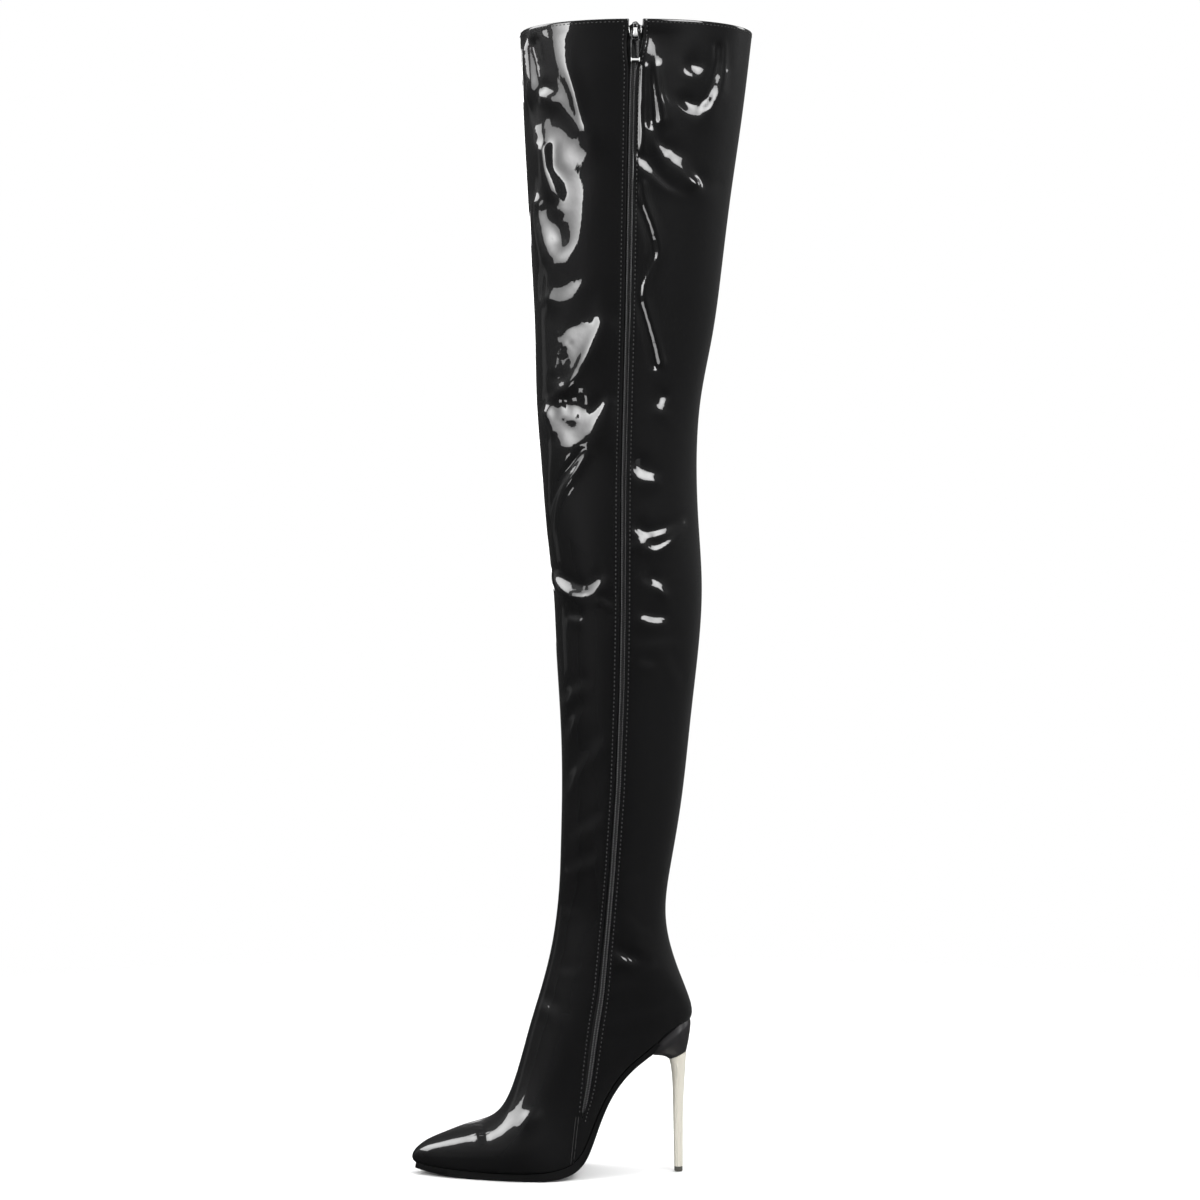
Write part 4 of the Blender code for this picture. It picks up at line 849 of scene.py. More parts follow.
def buildUpper():
    places, grid, away, slotColumn = upperGrid()
    normals = gridNormals(grid, slotColumn)
    skin = drawCreases(grid, normals)
    rows, columns = grid.shape[:2]
    lift = creaseLift(grid.reshape(-1, 3), normals.reshape(-1, 3), away.reshape(-1), skin)
    lift = lift.reshape(rows, columns) + zipEdge(away) * (places > zipEnd)[:, None]
    grid = grid + normals * lift[..., None]
    rim = []
    top = grid[-1]
    topNormal = normals[-1]
    for depth, lift in upperSizes["rim"]:
        ring = top - topNormal * depth
        ring[:, 2] = top[:, 2] + lift
        rim.append(ring)
    full = np.concatenate([grid[:-1], np.array(rim)])
    total = full.shape[0]
    skip = np.zeros((total - 1, columns - 1), dtype=bool)
    openRows = np.concatenate([places[1:], np.full(total - rows, lastStation + 1.0)]) > zipEnd
    skip[openRows[: total - 1], slotColumn - 1] = True
    faces = gridFaces(total, columns, skip=skip)
    addPiece("upperLeather", full.reshape(-1, 3), faces, patent, swaps=("upper",))
    return skin


creaseSkin = buildUpper()
print("stage: upper built")

# Lining: a plain inner skin with the same opening for the zip
liningSizes = {"rows": 170, "backColumns": 22, "frontColumns": 24, "outerColumns": 44, "depth": 1.95,
               "top": 1.2, "follow": 1.25}


def buildLining():
    first, final = station["nose"] + 0.5, lastStation - liningSizes["top"] / collarRise
    places = evenStations(first, final, liningSizes["rows"])
    rows, aways = [], []
    for place in places:
        section = sectionAt(place)
        opening = openingOf(place)
        centre, half, _ = zipRun(place)
        lips = [section.runAtWidth(side, opening) if opening else 0.0 for side in ("inner", "outer")]
        behind = section.spacedRuns("inner", lips[0], centre - half - 0.5, liningSizes["backColumns"])
        ends = [section.length(side) for side in ("inner", "outer")]
        before = section.spacedRuns("inner", centre + half + 0.5, ends[0], liningSizes["frontColumns"])
        outer = section.spacedRuns("outer", lips[1], ends[1], liningSizes["outerColumns"])[-2::-1]
        inner = np.concatenate([behind, before])
        depth = liningSizes["depth"]
        rows.append(np.concatenate([skinPoints(place, "inner", inner, np.full(len(inner), depth)),
                                    skinPoints(place, "outer", outer, np.full(len(outer), depth))]))
        aways.append(np.concatenate([np.abs(inner - centre) - half, np.full(len(outer), farFromZip)]))
    grid, away = np.array(rows), np.array(aways)
    normals = gridNormals(grid, liningSizes["backColumns"])
    lift = creaseLift(grid.reshape(-1, 3), normals.reshape(-1, 3), away.reshape(-1), creaseSkin)
    lift = np.minimum(lift, 0) * liningSizes["follow"]
    grid = grid + normals * lift.reshape(*away.shape, 1)
    skip = np.zeros((grid.shape[0] - 1, grid.shape[1] - 1), dtype=bool)
    skip[places[1:] > zipEnd, liningSizes["backColumns"] - 1] = True
    faces = gridFaces(*grid.shape[:2], skip=skip)
    return addPiece("upperLining", grid.reshape(-1, 3), faces, lining)


buildLining()
print("stage: lining built")

# The zip as lengths along its line: places, directions and slot edges at any length
zipSamples = 380


def sampleZip():
    places = np.linspace(zipEnd, lastStation, zipSamples)
    runs, halves, heights = np.array([zipRun(place) for place in places]).T
    centres = np.array([sectionAt(p).points("inner", r) for p, r in zip(places, runs)])
    lengths = np.concatenate([[0], np.cumsum(np.linalg.norm(np.diff(centres, axis=0), axis=1))])
    return places, runs, halves, heights, lengths


zipPlaces, zipRuns, zipHalves, zipTops, zipLengths = sampleZip()


# Frames beside the zip: aside is the distance from the middle, or from the slot's edge, on one hand of it
def zipFrames(lengths, aside, depth, fromEdge=False):
    offsets = np.broadcast_to(aside, zipPlaces.shape) + (np.sign(aside) * zipHalves if fromEdge else 0)
    spots, normals = [], []
    for place, run, offset in zip(zipPlaces, zipRuns, offsets):
        at = np.array([run + offset])
        normal = normalsAt(place, "inner", at)
        spots.append((sectionAt(place).points("inner", at) - normal * depth)[0])
        normals.append(normal[0])
    spots, normals = np.array(spots), np.array(normals)
    ahead = np.gradient(spots, axis=0)
    ahead /= np.linalg.norm(ahead, axis=1, keepdims=True)
    spot, up, along = (np.stack([np.interp(lengths, zipLengths, column) for column in values.T], axis=-1)
                       for values in (spots, normals, ahead))
    side = np.cross(up, along)
    side /= np.linalg.norm(side, axis=1, keepdims=True)
    return spot, np.stack([along, side, np.cross(along, side)], axis=1)


def lengthAt(height):
    return float(np.interp(height, zipTops, zipLengths))


# Tapes: two woven strips behind the slot, with a corded inner edge
tapeSizes = {"rows": 330, "depth": 2.1, "thick": 0.7, "half": 12.5, "halfLow": 6.0, "top": 881.0,
             "cord": 0.25, "shift": 0.7}


def buildTape(name, hand):
    lengths = np.linspace(0.5, lengthAt(tapeSizes["top"]), tapeSizes["rows"])
    heights = np.interp(lengths, zipLengths, zipTops)
    share = np.clip((heights - 60) / 100, 0, 1)
    half = tapeSizes["halfLow"] + (tapeSizes["half"] - tapeSizes["halfLow"]) * share
    sampleHalf = np.interp(zipLengths, lengths, half)
    front, back = tapeSizes["depth"], tapeSizes["depth"] + tapeSizes["thick"]
    corners = [(0.15, front + 0.2), (0.5, front - tapeSizes["cord"]), (1.2, front), (2.5, front),
               (4.5, front), (None, front), (None, back), (4.5, back), (0.15, back)]
    columns = []
    for aside, depth in corners:
        reach = sampleHalf if aside is None else np.minimum(aside, sampleHalf)
        columns.append(zipFrames(lengths, hand * reach - tapeSizes["shift"], depth)[0])
    grid = np.stack(columns, axis=1)
    faces = gridFaces(len(lengths), len(corners), closed=True).tolist()
    last = (len(lengths) - 1) * len(corners)
    faces += [tuple(range(last, last + len(corners)))]
    for tri in ((0, 8, 7), (0, 7, 6), (0, 6, 5), (0, 5, 4), (0, 4, 3), (0, 3, 2), (0, 2, 1)):
        faces.append(tri)
    return addPiece(name, grid.reshape(-1, 3), faces, tapeCloth, sharp=50,
                    swaps=("zip_tape_front" if hand > 0 else "zip_tape_back",))


buildTape("zipTapeFront", 1)
buildTape("zipTapeBack", -1)

# Teeth: two rows of coil turns that lock in the middle
teethSizes = {"pitch": 1.3, "long": 0.85, "wide": 0.42, "tall": 0.6, "aside": 1.42, "depth": 1.15,
              "lean": 0.18, "low": 50.0, "top": 872.0}


def buildTeeth():
    template, quads = capsule(teethSizes["long"], teethSizes["wide"], teethSizes["tall"], sides=8, rings=2)
    points, faces = [], []
    base = 0
    for hand in (-1, 1):
        lengths = np.arange(lengthAt(teethSizes["low"]), lengthAt(teethSizes["top"]), teethSizes["pitch"])
        lengths = lengths + (teethSizes["pitch"] / 2 if hand > 0 else 0)
        spots, axes = zipFrames(lengths, hand * teethSizes["aside"] - tapeSizes["shift"], teethSizes["depth"])
        lean = hand * teethSizes["lean"]
        along, side, up = axes[:, 0], axes[:, 1], axes[:, 2]
        turned = np.stack([side + along * lean, along - side * lean, up], axis=1)
        morePoints, moreFaces = arrayOf(template, quads, spots, turned)
        points.append(morePoints)
        faces.append(moreFaces + base)
        base += len(morePoints)
    return addPiece("zipTeeth", np.concatenate(points), np.concatenate(faces), coilBlack,
                    swaps=("zip_chain",))


buildTeeth()
print("stage: tapes and teeth built")

# Stitches: short raised threads beside the zip and along the collar
stitchSizes = {"pitch": 3.3, "long": 1.5, "wide": 0.42, "tall": 0.3, "fromEdge": 3.0, "sink": 0.12,
               "collarDrop": 2.4, "low": 48.0, "top": 882.0}


def buildStitches():
    template, quads = capsule(stitchSizes["long"], stitchSizes["wide"], stitchSizes["tall"], sides=8, rings=2)
    spots, axes = [], []
    for hand in (-1, 1):
        lengths = np.arange(lengthAt(stitchSizes["low"]), lengthAt(stitchSizes["top"]), stitchSizes["pitch"])
        spot, axis = zipFrames(lengths, hand * stitchSizes["fromEdge"], stitchSizes["sink"], fromEdge=True)
        away = np.full(len(spot), stitchSizes["fromEdge"])
        spot += axis[:, 2] * creaseLift(spot, axis[:, 2], away, creaseSkin)[:, None]
        spots.append(spot)
        axes.append(axis)
    place = lastStation - stitchSizes["collarDrop"] / collarRise
    centre, half, _ = zipRun(place)
    inner, outer = (sectionAt(place).length(side) for side in ("inner", "outer"))
    stretches = (("inner", 0.0, centre - half - stitchSizes["fromEdge"]),
                 ("inner", centre + half + stitchSizes["fromEdge"], inner), ("outer", 0.0, outer))
    for side, first, final in stretches:
        runs = np.arange(first + 1.4, final - 0.6, stitchSizes["pitch"])
        normal = normalsAt(place, side, runs)
        spot = sectionAt(place).points(side, runs) - normal * stitchSizes["sink"]
        along = sectionAt(place).points(side, runs + 0.5) - sectionAt(place).points(side, runs - 0.5)
        along /= np.linalg.norm(along, axis=1, keepdims=True)
        spots.append(spot)
        axes.append(np.stack([along, np.cross(normal, along), normal], axis=1))
    points, faces = arrayOf(template, quads, np.concatenate(spots), np.concatenate(axes))
    return addPiece("stitches", points, faces, thread)


buildStitches()

# Seam: two fine cords from the end of the zip down to the sole
seamSizes = {"top": (-77.6, 48.0), "foot": (-81.6, 11.5), "apart": 2.1, "thick": 0.32, "sink": 0.12}


def buildSeam():
    cords = []
    for number in (0, 1):
        aside = np.array((seamSizes["apart"] * number, 0.0))
        first, final = np.array(seamSizes["top"]) - aside, np.array(seamSizes["foot"]) - aside
        line = [(*spot, 1.0, 0.0) for spot in np.linspace(first, final, 8)]
        places, facing = seamSkin(line)
        thick = seamSizes["thick"]
        cords.append(barMesh(places - facing * seamSizes["sink"], facing, thick, thick, sides=8))
    points, faces = joinMeshes(*cords)
    addPiece("zipEndSeam", points, faces, seamBlack)


# Slider and pull tab: dark enamel, with pale metal on the lower bridge, two side strips and the tab's end bar
# as painted highlights.
# Sizes are from the middle of the slider.
sliderSizes = {
    "half": ((0.0, 6.3), (1.0, 6.2), (2.0, 5.4), (2.9, 4.2), (3.8, 3.5), (5.0, 3.3), (5.1, 2.4), (4.8, -0.6),
             (4.3, -3.4), (4.0, -5.4), (3.3, -6.3), (0.0, -6.3)),
    "paintedGlintTop": 1.0, "faceDeep": 3.2, "plate": 1.5, "bevel": 0.5, "backShrink": 0.93, "neck": 2.3,
    "bridgeThick": 0.5,
    "bridge": ((0.2, 4.9, 1.2), (-1.4, 4.6, 1.3), (-2.45, 3.5, 1.5), (-2.65, 1.6, 1.7), (-2.65, -0.6, 1.25),
               (-2.6, -2.6, 1.5), (-2.3, -3.9, 1.9), (-1.4, -4.6, 1.9), (0.2, -4.9, 1.9)),
    "crown": ((1.6, 4.6), (1.75, 1.9), 1.1), "paintedGlintFlank": ((4.75, 1.2), (4.3, -2.6)), "paintedGlintFlankBar": (0.28, 0.4),
}
tabSizes = {"wide": 3.4, "edge": 0.35, "rim": 0.85, "recess": 0.3, "corner": 1.3, "eye": (2.6, 7.2),
            "eyeBar": (0.8, 0.62), "bar": 2.6, "barHalf": 0.75, "barEnd": 1.5}


def cornersCut(points, times, closed=True):
    points = np.asarray(points, dtype=float)
    for _ in range(times):
        ahead = np.roll(points, -1, axis=0) if closed else points[1:]
        here = points if closed else points[:-1]
        cut = np.stack([0.75 * here + 0.25 * ahead, 0.25 * here + 0.75 * ahead], axis=1)
        cut = cut.reshape(-1, points.shape[1])
        points = cut if closed else np.concatenate([points[:1], cut, points[-1:]])
    return points


# A plate from an outline and a profile of insets and depths, capped at both ends
def plateMesh(outline, profile):
    ahead = np.roll(outline, -1, axis=0) - np.roll(outline, 1, axis=0)
    inward = np.stack([-ahead[:, 1], ahead[:, 0]], axis=1)
    inward /= np.linalg.norm(inward, axis=1, keepdims=True)
    if np.mean(np.einsum("ij,ij->i", inward, outline.mean(axis=0) - outline)) < 0:
        inward = -inward
    rings = []
    for inset, depth in profile:
        flat = outline + inward * inset
        rings.append(np.stack([flat[:, 0], np.full(len(flat), depth), flat[:, 1]], axis=1))
    count = len(outline)
    faces = gridFaces(len(rings), count, closed=True).tolist()
    faces += [tuple(range(count))[::-1], tuple(range((len(rings) - 1) * count, len(rings) * count))]
    return np.concatenate(rings), faces


# A bar of oval section along a path; wideWay is the direction of its width
def barMesh(path, wideWay, wide, thick, closed=False, sides=12):
    path = np.asarray(path, dtype=float)
    ahead = np.roll(path, -1, axis=0) - np.roll(path, 1, axis=0) if closed else np.gradient(path, axis=0)
    ahead /= np.linalg.norm(ahead, axis=1, keepdims=True)
    wideWay = np.broadcast_to(np.asarray(wideWay, dtype=float), path.shape)
    thickWay = np.cross(ahead, wideWay)
    wide = np.broadcast_to(wide, len(path))
    turn = np.linspace(0, 2 * math.pi, sides, endpoint=False)
    across = np.sign(np.cos(turn)) * np.abs(np.cos(turn)) ** 0.7
    up = np.sign(np.sin(turn)) * np.abs(np.sin(turn)) ** 0.7
    rings = path[:, None] + wideWay[:, None] * (wide[:, None] * across)[..., None]
    rings = rings + thickWay[:, None] * (thick * up)[None, :, None]
    rows = len(path)
    if closed:
        rings = np.concatenate([rings, rings[:1]])
        rows += 1
    faces = gridFaces(rows, sides, closed=True).tolist()
    if not closed:
        faces += [tuple(range(sides)), tuple(range((rows - 1) * sides, rows * sides))]
    return rings.reshape(-1, 3), faces


def joinMeshes(*meshes):
    points, faces, base = [], [], 0
    for morePoints, moreFaces in meshes:
        points.append(morePoints)
        faces += [tuple(i + base for i in face) for face in moreFaces]
        base += len(morePoints)
    return np.concatenate(points), faces


def bevelled(front, back, bevel):
    return ((bevel, back), (bevel * 0.3, back - bevel * 0.3), (0.0, back - bevel), (0.0, front + bevel),
            (bevel * 0.3, front + bevel * 0.3), (bevel, front))


def buildSlider():
    low, high = (np.array(corner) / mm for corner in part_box("zip_slider"))
    middle = (low + high) / 2
    face = low[1] + sliderSizes["faceDeep"]
    half = np.array(sliderSizes["half"])
    outline = cornersCut(np.concatenate([half, half[-2:0:-1] * (-1, 1)]), 2)
    plate = plateMesh(outline, bevelled(face, face + sliderSizes["plate"], sliderSizes["bevel"]))
    back = plateMesh(outline * sliderSizes["backShrink"],
                     bevelled(high[1] - sliderSizes["plate"], high[1], sliderSizes["bevel"]))
    neckPath = [(0.0, y, 4.6) for y in np.linspace(face + 0.7, high[1] - 0.7, 6)]
    neck = barMesh(neckPath, (1, 0, 0), sliderSizes["neck"], 1.3)
    (crownTop, crownHigh), (crownLow, crownFoot), crownDeep = sliderSizes["crown"]
    crownPath = [(0.0, face - crownDeep, crownHigh), (0.0, face - crownDeep - 1.4, crownFoot)]
    crown = barMesh(crownPath, (1, 0, 0), np.array([crownTop, crownLow]), 0.6)
    seat = np.array([middle[0], 0.0, middle[2]])
    arch = cornersCut([(wide, face + y, z) for y, z, wide in sliderSizes["bridge"]], 3, closed=False)
    # The arch is black at its top and pale below: a painted highlight on the bridge
    turn = int(np.argmax(arch[:, 2] < sliderSizes["paintedGlintTop"]))
    hood, bridge = (barMesh(part * (0, 1, 1), (1, 0, 0), part[:, 0], sliderSizes["bridgeThick"], sides=16)
                    for part in (arch[: turn + 1], arch[turn:]))
    points, faces = joinMeshes(plate, back, neck, crown, hood)
    addPiece("zipSliderBody", points + seat, faces, blackMetal, sharp=60, swaps=("zip_slider",))
    # Two thin pale strips on the sides of the plate: painted glints
    paintedGlintFlanks = []
    for hand in (-1, 1):
        path = [(hand * x, face - 0.05, z) for x, z in sliderSizes["paintedGlintFlank"]]
        paintedGlintFlanks.append(barMesh(np.linspace(path[0], path[1], 5), (1, 0, 0), *sliderSizes["paintedGlintFlankBar"], sides=8))
    points, faces = joinMeshes(bridge, *paintedGlintFlanks)
    addPiece("zipSliderPaintedGlints", points + seat, faces, paintedGlintMetal, sharp=60)


def roundedOutline(halfWide, top, bottom, corner, steps=6):
    turn = np.linspace(0, math.pi / 2, steps)
    spots = []
    for x, z, start in ((1, top, 0), (-1, top, 1), (-1, bottom, 2), (1, bottom, 3)):
        centre = (x * (halfWide - corner), z - corner if z == top else z + corner)
        angle = turn + start * math.pi / 2
        spots += [(centre[0] + corner * math.cos(a), centre[1] + corner * math.sin(a)) for a in angle]
    return np.array(spots)


def buildTab():
    low, high = (np.array(corner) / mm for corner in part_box("zip_pull_tab"))
    middle = (low + high) / 2
    eyeWide, eyeLong = tabSizes["eye"]
    barWide, barThick = tabSizes["eyeBar"]
    top = high[2] - barThick
    loop = roundedOutline(eyeWide, top, top - eyeLong - 1.2, 1.6, steps=10)
    path = np.stack([loop[:, 0], np.full(len(loop), middle[1]), loop[:, 1]], axis=1)
    eye = barMesh(path, (0, 1, 0), (high[1] - low[1]) / 2 - 0.02, barWide * 0.75, closed=True)
    edge, rim = tabSizes["edge"], tabSizes["rim"]
    outline = roundedOutline(tabSizes["wide"], high[2] - eyeLong - 0.6, low[2], tabSizes["corner"])
    profile = (*bevelled(low[1], high[1], edge), (edge + rim, low[1]),
               (edge + rim + 0.3, low[1] + tabSizes["recess"]))
    body = plateMesh(outline, profile)
    points, faces = joinMeshes(eye, body)
    seat = np.array([middle[0], 0.0, 0.0])
    addPiece("zipPullTabBody", points + seat, faces, blackMetal, body="pull_tab", sharp=60,
             swaps=("zip_pull_tab",))
    # A pale bar with upright ends near the tab's foot: a painted highlight on the dark tab
    barZ, reach = low[2] + tabSizes["bar"], tabSizes["wide"] - 0.3
    path = [(x, low[1], barZ) for x in np.linspace(-reach, reach, 5)]
    bar = barMesh(path, (0, 0, 1), tabSizes["barHalf"], 0.16)
    ends = []
    for hand in (-1, 1):
        path = [(hand * reach, low[1], barZ + z) for z in np.linspace(-1, 1, 5) * tabSizes["barEnd"]]
        ends.append(barMesh(path, (1, 0, 0), 0.3, 0.16))
    points, faces = joinMeshes(bar, *ends)
    addPiece("zipPullTabPaintedGlintBar", points + seat, faces, paintedGlintMetal, body="pull_tab", sharp=60)


buildSlider()
buildTab()
buildSeam()
print("stage: slider, pull tab and seam built")

# Sole: a thin leather strip with a softened edge, following the last
soleSizes = {"thick": 3.0, "thickWaist": 2.4, "share": 0.93, "toeDraw": 0.13, "waistDraw": 0.10, "rows": 150,
             "across": 33, "edge": 0.45, "tongue": 0.35, "tongueThick": 0.4}


def soleRing(place):
    section = sectionAt(place)
    toe = min(max((place - station["toePoint"]) / 2, 0), 1)
    waist = min(max((place - station["ballBack"]) / 3, 0), 1)
    share = soleSizes["share"] - soleSizes["toeDraw"] * (1 - toe) - soleSizes["waistDraw"] * waist
    steps = np.sin(np.linspace(-math.pi / 2, math.pi / 2, soleSizes["across"]))
    top = []
    for step in steps:
        side = "inner" if step < 0 else "outer"
        run = max(section.runAtWidth(side, section.row[side] * share * abs(step)), 0.01)
        top.append(skinPoints(place, side, np.array([run]), np.array([-gap]))[0])
    top = np.array(top)
    before, after = (np.array([splineAt(lastTable[c], lastBends[c], at) for c in ("backX", "backZ")])
                     for at in (place - 0.1, place + 0.1))
    ahead = after - before
    ahead /= np.linalg.norm(ahead)
    lean = min(max((place - station["ball"]) / (station["waist"] - station["ball"]), 0), 1)
    thick = gap + soleSizes["thick"] + (soleSizes["thickWaist"] - soleSizes["thick"]) * lean
    tuck = min(max((place - station["seatFront"]) / soleSizes["tongue"], 0), 1)
    thick += (soleSizes["tongueThick"] - thick) * tuck
    underX = section.row["backX"] + ahead[1] * thick
    underZ = section.row["backZ"] - ahead[0] * thick
    if station["vampPoint"] <= place <= station["ball"] + 0.25 or underZ < 0.3:
        underZ = 0.0
    edge = soleSizes["edge"]
    low = np.stack([np.full(len(top), underX), top[:, 1], np.full(len(top), underZ)], axis=1)
    middle = low[:, 1].mean()
    inset = low.copy()
    inset[:, 1] = middle + (low[:, 1] - middle) * (1 - edge / np.ptp(low[:, 1]) * 2)
    rise = np.array([-ahead[1], 0, ahead[0]]) * edge
    return np.concatenate([top, low[-1:] + rise, inset[::-1], low[:1] + rise])


def buildSole():
    first, final = station["toePoint"] - 0.3, station["seatFront"] + soleSizes["tongue"]
    rings = np.array([soleRing(place) for place in evenStations(first, final, soleSizes["rows"], lean=0.5)])
    rows, columns = rings.shape[:2]
    faces = gridFaces(rows, columns, closed=True).tolist()
    faces += [tuple(range(columns)), tuple(range((rows - 1) * columns, rows * columns))]
    addPiece("outsoleLeather", rings.reshape(-1, 3), faces, soleBlack, sharp=40, swaps=("outsole",))


buildSole()
print("stage: sole built")

# Heel: a covered block, a pale metal stem and a rubber tip; rows run down from the seat
heelColumns = ("backX", "backZ", "frontX", "frontZ", "half", "square")
heelCover = (
    (6.0, 124.0, -28.0, 99.0, 22.0, 2.5),
    (9.6, 117.5, -23.4, 93.6, 26.4, 2.5),
    (9.1, 111.8, -20.6, 91.2, 24.0, 2.45),
    (8.4, 106.0, -16.8, 90.7, 19.4, 2.35),
    (7.6, 101.0, -12.9, 90.2, 14.6, 2.25),
    (6.7, 96.8, -9.6, 88.9, 10.2, 2.15),
    (6.1, 93.9, -7.5, 87.5, 7.7, 2.1),
)
heelStem = (
    (6.05, 93.55, -7.35, 87.15, 7.6, 2.1),
    (5.6, 86.8, -6.15, 82.8, 6.4, 2.1),
    (5.15, 78.4, -5.35, 76.6, 5.75, 2.15),
    (4.6, 70.6, -4.8, 70.2, 5.3, 2.2),
    (3.8, 55.0, -4.35, 55.0, 4.7, 2.3),
    (3.45, 39.4, -4.05, 39.4, 4.4, 2.4),
    (3.35, 20.0, -3.6, 20.0, 4.15, 2.5),
    (3.3, 3.9, -3.35, 3.9, 4.0, 2.5),
)
heelTip = (
    (3.23, 3.6, -3.28, 3.6, 3.92, 2.5),
    (3.23, 0.6, -3.28, 0.6, 3.92, 2.5),
    (3.1, 0.2, -3.15, 0.2, 3.78, 2.5),
    (2.85, 0.0, -2.9, 0.0, 3.5, 2.5),
)
heelSizes = {"sides": 96, "coverLevels": 70, "stemLevels": 90, "softening": 14, "touch": -0.1}


def heelRing(row):
    place = dict(zip(heelColumns, row))
    back = np.array([place["backX"], 0.0, place["backZ"]])
    front = np.array([place["frontX"], 0.0, place["frontZ"]])
    turn = np.linspace(0, 2 * math.pi, heelSizes["sides"], endpoint=False)
    power = 2 / place["square"]
    along = np.sign(np.cos(turn)) * np.abs(np.cos(turn)) ** power
    side = np.sign(np.sin(turn)) * np.abs(np.sin(turn)) ** power
    ring = (back + front) / 2 + (back - front) / 2 * along[:, None]
    ring[:, 1] += place["half"] * side
    return ring


def heelRings(rows, levels):
    table = np.array(rows)
    spread = np.linspace(0, len(rows) - 1, levels)
    fine = np.stack([np.interp(spread, np.arange(len(rows)), column) for column in table.T], axis=-1)
    for _ in range(heelSizes["softening"]):
        fine[1:-1] = (fine[:-2] + 2 * fine[1:-1] + fine[2:]) / 4
    return np.array([heelRing(row) for row in fine])


def heelPiece(name, rings, material, swaps):
    rows, columns = rings.shape[:2]
    faces = gridFaces(rows, columns, closed=True).tolist()
    faces += [tuple(range(columns))[::-1], tuple(range((rows - 1) * columns, rows * columns))]
    return addPiece(name, rings.reshape(-1, 3), faces, material, sharp=40, swaps=swaps)


# The top of the cover is drawn down to the skin of the seat it sits under
def buildHeel():
    rings = heelRings(heelCover, heelSizes["coverLevels"])
    heelPiece("heelCoverLeather", underSeat(rings), heelBlack, ("heel_cover",))
    stem = heelRings(heelStem, heelSizes["stemLevels"])
    heelPiece("heelStemMetal", stem, paleMetal, ("heel_stem",))
    tip = np.array([heelRing(row) for row in heelTip])
    heelPiece("heelTipRubber", tip, tipRubber, ("heel_tip",))


def seatSurface():
    rows = []
    for place in np.linspace(station["waistBack"], station["ankle"], 60):
        section = sectionAt(place)
        halves = []
        for side in ("inner", "outer"):
            runs = section.spacedRuns(side, 0, section.length(side), 48)
            halves.append(section.points(side, runs))
        rows.append(np.concatenate([halves[0], halves[1][-2:0:-1]]))
    grid = np.array(rows)
    middles = np.repeat(grid.mean(axis=1, keepdims=True), grid.shape[1], axis=1).reshape(-1, 3)
    points, quads = grid.reshape(-1, 3), gridFaces(*grid.shape[:2], closed=True)
    return BVHTree.FromPolygons(points.tolist(), quads.tolist()), middles[quads[:, 0]]


def underSeat(rings):
    surface, middles = seatSurface()

    def clearance(point):
        spot, _, face, away = surface.find_nearest(point)
        outward = np.array(spot) - middles[face]
        return away if (point - np.array(spot)) @ outward > 0 else -away

    drawn = rings.copy()
    levels = np.arange(len(rings), dtype=float)
    for column in range(rings.shape[1]):
        line = rings[:, column]
        clear = np.array([clearance(point) for point in line])
        blocked = np.flatnonzero(clear < heelSizes["touch"])
        if len(blocked) == 0:
            continue
        low = min(blocked[-1], len(rings) - 2)
        start = low + (heelSizes["touch"] - clear[low]) / max(clear[low + 1] - clear[low], 1e-6)
        spread = np.linspace(start, len(rings) - 1, len(rings))
        drawn[:, column] = np.stack([np.interp(spread, levels, axis) for axis in line.T], axis=-1)
    return drawn


buildHeel()
print("stage: heel built")

# Every CAD node not yet replaced gets a plain finish
nodeFinish = {"insole": insoleBoard}
for name, finish in nodeFinish.items():
    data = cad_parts[name].data
    data.materials.clear()
    data.materials.append(finish)

# Camera, lights, floor
cameraSizes = {"distance": 2.25, "x": -0.0612, "z": 0.445, "field": 0.936}
camera = bpy.data.objects.new("camera", bpy.data.cameras.new("camera"))
camera.location = (cameraSizes["x"], -cameraSizes["distance"], cameraSizes["z"])
camera.rotation_euler = (math.pi / 2, 0, 0)
camera.data.sensor_width = 36.0
camera.data.lens = 36.0 * cameraSizes["distance"] / cameraSizes["field"]
bpy.context.scene.collection.objects.link(camera)
bpy.context.scene.camera = camera

softBoxes = {
    "leftTall": {"place": (-1.48, -0.82, 1.21), "aim": (-0.05, 0.0, 0.95), "size": (0.62, 1.0),
                 "glow": (4.0, 17.0), "lean": 1},
    "rightHigh": {"place": (0.77, -1.14, 1.62), "aim": (-0.03, 0.0, 0.65), "size": (0.8, 0.65),
                  "glow": (8.0, 17.0)},
    "overhead": {"place": (-0.15, 0.25, 2.2), "aim": (-0.1, 0.0, 0.3), "size": (0.9, 0.5),
                 "glow": (6.0, 10.0)},
    "leftHigh": {"place": (-2.62, 0.34, 2.92), "aim": (-0.15, -0.03, 2.92), "size": (1.77, 2.94),
                 "glow": (7.0, 12.0), "matt": False},
    "leftLow": {"place": (-1.34, -1.04, 0.15), "aim": (-0.03, -0.05, 0.66), "size": (0.36, 0.34),
                "glow": (6.0, 6.5), "matt": False},
    "backLeft": {"place": (-2.0, 1.0, 0.75), "aim": (-0.05, 0.0, 0.45), "size": (0.5, 1.2),
                 "glow": (0.1, 0.2)},
    "behind": {"place": (-0.25, 1.9, 1.05), "aim": (-0.06, 0.0, 0.6), "size": (0.45, 1.4),
               "glow": (2.0, 5.0), "matt": False},
    "backRight": {"place": (2.2, 0.9, 1.7), "aim": (-0.05, 0.0, 0.45), "size": (0.8, 1.0),
                  "glow": (4.0, 8.0)},
}


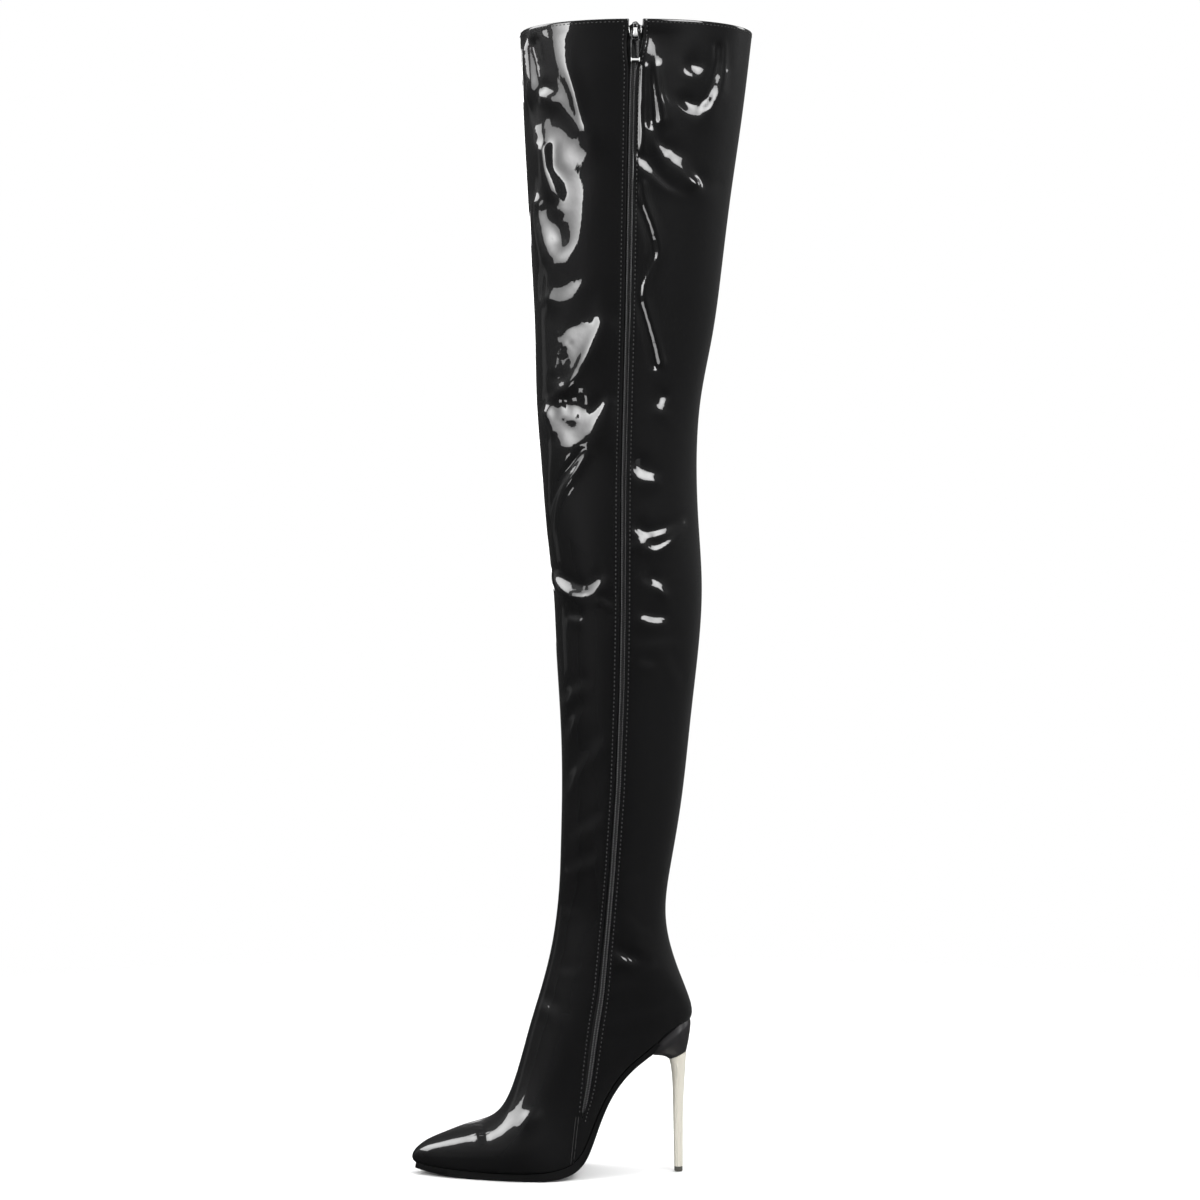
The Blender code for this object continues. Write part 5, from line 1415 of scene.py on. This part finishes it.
# glow is the brightness at the rim and in the middle, a box that isn't matt lights gloss only
def addSoftBox(name, place, aim, size, glow, lean=0, matt=True):
    light = bpy.data.lights.new(name, "AREA")
    light.shape = "RECTANGLE"
    light.size, light.size_y = size
    light.energy = math.pi * size[0] * size[1]
    light.use_nodes = True
    tree = light.node_tree
    spread = tree.nodes.new("ShaderNodeNewGeometry")
    parts = tree.nodes.new("ShaderNodeSeparateXYZ")
    tree.links.new(spread.outputs["Parametric"], parts.inputs[0])
    bumps = []
    for axis in ("X", "Y"):
        rest = mathNode(tree, "SUBTRACT", 1.0, parts.outputs[axis])
        bumps.append(mathNode(tree, "MULTIPLY", mathNode(tree, "MULTIPLY", parts.outputs[axis], rest), 4.0))
    if lean:
        bumps[0] = mathNode(tree, "POWER", parts.outputs["X"], 1.5)
    middle = mathNode(tree, "MULTIPLY", *bumps)
    strength = mathNode(tree, "MULTIPLY_ADD", middle, glow[1] - glow[0])
    strength.node.inputs[2].default_value = glow[0]
    tree.links.new(strength, tree.nodes["Emission"].inputs["Strength"])
    thing = bpy.data.objects.new(name, light)
    thing.location = place
    thing.rotation_euler = (Vector(aim) - Vector(place)).to_track_quat("-Z", "Y").to_euler()
    thing.visible_camera = False
    thing.visible_diffuse = matt
    bpy.context.scene.collection.objects.link(thing)


for name, box in softBoxes.items():
    addSoftBox(name, **box)

# Card on the camera's left that keeps the tall and the low box off the foot, seen in gloss only
cardSizes = {"place": (-0.394, -0.208, 0.2325), "aim": (-1.464, -0.848, 0.2325), "size": (0.256, 0.455)}
cardMesh = bpy.data.meshes.new("lightCard")
wide, high = (side / 2 for side in cardSizes["size"])
cardCorners = [(-wide, -high, 0), (wide, -high, 0), (wide, high, 0), (-wide, high, 0)]
cardMesh.from_pydata(cardCorners, [], [(0, 1, 2, 3)])
card = bpy.data.objects.new("lightCard", cardMesh)
card.location = cardSizes["place"]
cardWay = Vector(cardSizes["aim"]) - Vector(cardSizes["place"])
card.rotation_euler = cardWay.to_track_quat("-Z", "Y").to_euler()
card.visible_camera = False
card.visible_diffuse = False
card.visible_shadow = False
bpy.context.scene.collection.objects.link(card)
cardMaterial = newMaterial("cardBlack", {"Base Color": (0.01, 0.01, 0.01), "Roughness": 0.9,
                                         "Specular IOR Level": 0.0})[0]
cardMesh.materials.append(cardMaterial)

# Room: white to the eye and to matt surfaces, a dim grey in reflections
roomSizes = {"seen": 1.0, "reflected": 0.035, "right": 0.07, "high": 0.07}
world = bpy.data.worlds.new("room")
bpy.context.scene.world = world
world.use_nodes = True
worldTree = world.node_tree
shade = worldTree.nodes["Background"]
shade.inputs["Color"].default_value = (1.0, 1.0, 1.0, 1.0)
lightPath = worldTree.nodes.new("ShaderNodeLightPath")
level = worldTree.nodes.new("ShaderNodeMapRange")
level.inputs["To Min"].default_value = roomSizes["seen"]
way = worldTree.nodes.new("ShaderNodeSeparateXYZ")
worldTree.links.new(worldTree.nodes.new("ShaderNodeTexCoord").outputs["Generated"], way.inputs[0])
glow = roomSizes["reflected"]
ramps = (("X", -0.2, 0.7, roomSizes["right"]), ("Z", 0.0, 0.8, roomSizes["high"]))
for axis, first, final, amount in ramps:
    ramp = worldTree.nodes.new("ShaderNodeMapRange")
    ramp.inputs["From Min"].default_value = first
    ramp.inputs["From Max"].default_value = final
    ramp.inputs["To Max"].default_value = amount
    worldTree.links.new(way.outputs[axis], ramp.inputs["Value"])
    glow = mathNode(worldTree, "ADD", glow, ramp.outputs["Result"])
worldTree.links.new(glow, level.inputs["To Max"])
worldTree.links.new(lightPath.outputs["Is Glossy Ray"], level.inputs["Value"])
worldTree.links.new(level.outputs["Result"], shade.inputs["Strength"])

# Floor: pale, fading out to the white of the room
floorSizes = {"half": 3.0, "solid": 0.5, "fade": 1.4}
floorMesh = bpy.data.meshes.new("floor")
reach = floorSizes["half"]
floorMesh.from_pydata([(-reach, -reach, 0), (reach, -reach, 0), (reach, reach, 0), (-reach, reach, 0)], [],
                      [(0, 1, 2, 3)])
floor = bpy.data.objects.new("floor", floorMesh)
floor.location = (-0.1, 0.0, -0.0005)
bpy.context.scene.collection.objects.link(floor)
floorMaterial, floorTree, floorShader = newMaterial("paleFloor", {
    "Base Color": (0.93, 0.93, 0.93), "Roughness": 0.8, "Specular IOR Level": 0.0})
place = floorTree.nodes.new("ShaderNodeTexCoord")
far = floorTree.nodes.new("ShaderNodeVectorMath")
far.operation = "LENGTH"
fade = floorTree.nodes.new("ShaderNodeMapRange")
fade.interpolation_type = "SMOOTHSTEP"
fade.inputs["From Min"].default_value = floorSizes["solid"]
fade.inputs["From Max"].default_value = floorSizes["fade"]
fade.inputs["To Min"].default_value = 1.0
fade.inputs["To Max"].default_value = 0.0
floorTree.links.new(place.outputs["Object"], far.inputs[0])
floorTree.links.new(far.outputs["Value"], fade.inputs["Value"])
floorTree.links.new(fade.outputs["Result"], floorShader.inputs["Alpha"])
floorMesh.materials.append(floorMaterial)
floor.visible_glossy = False

bpy.context.scene.view_settings.view_transform = "Standard"
bpy.context.scene.cycles.max_bounces = 6
print("stage: camera, lights and floor placed")
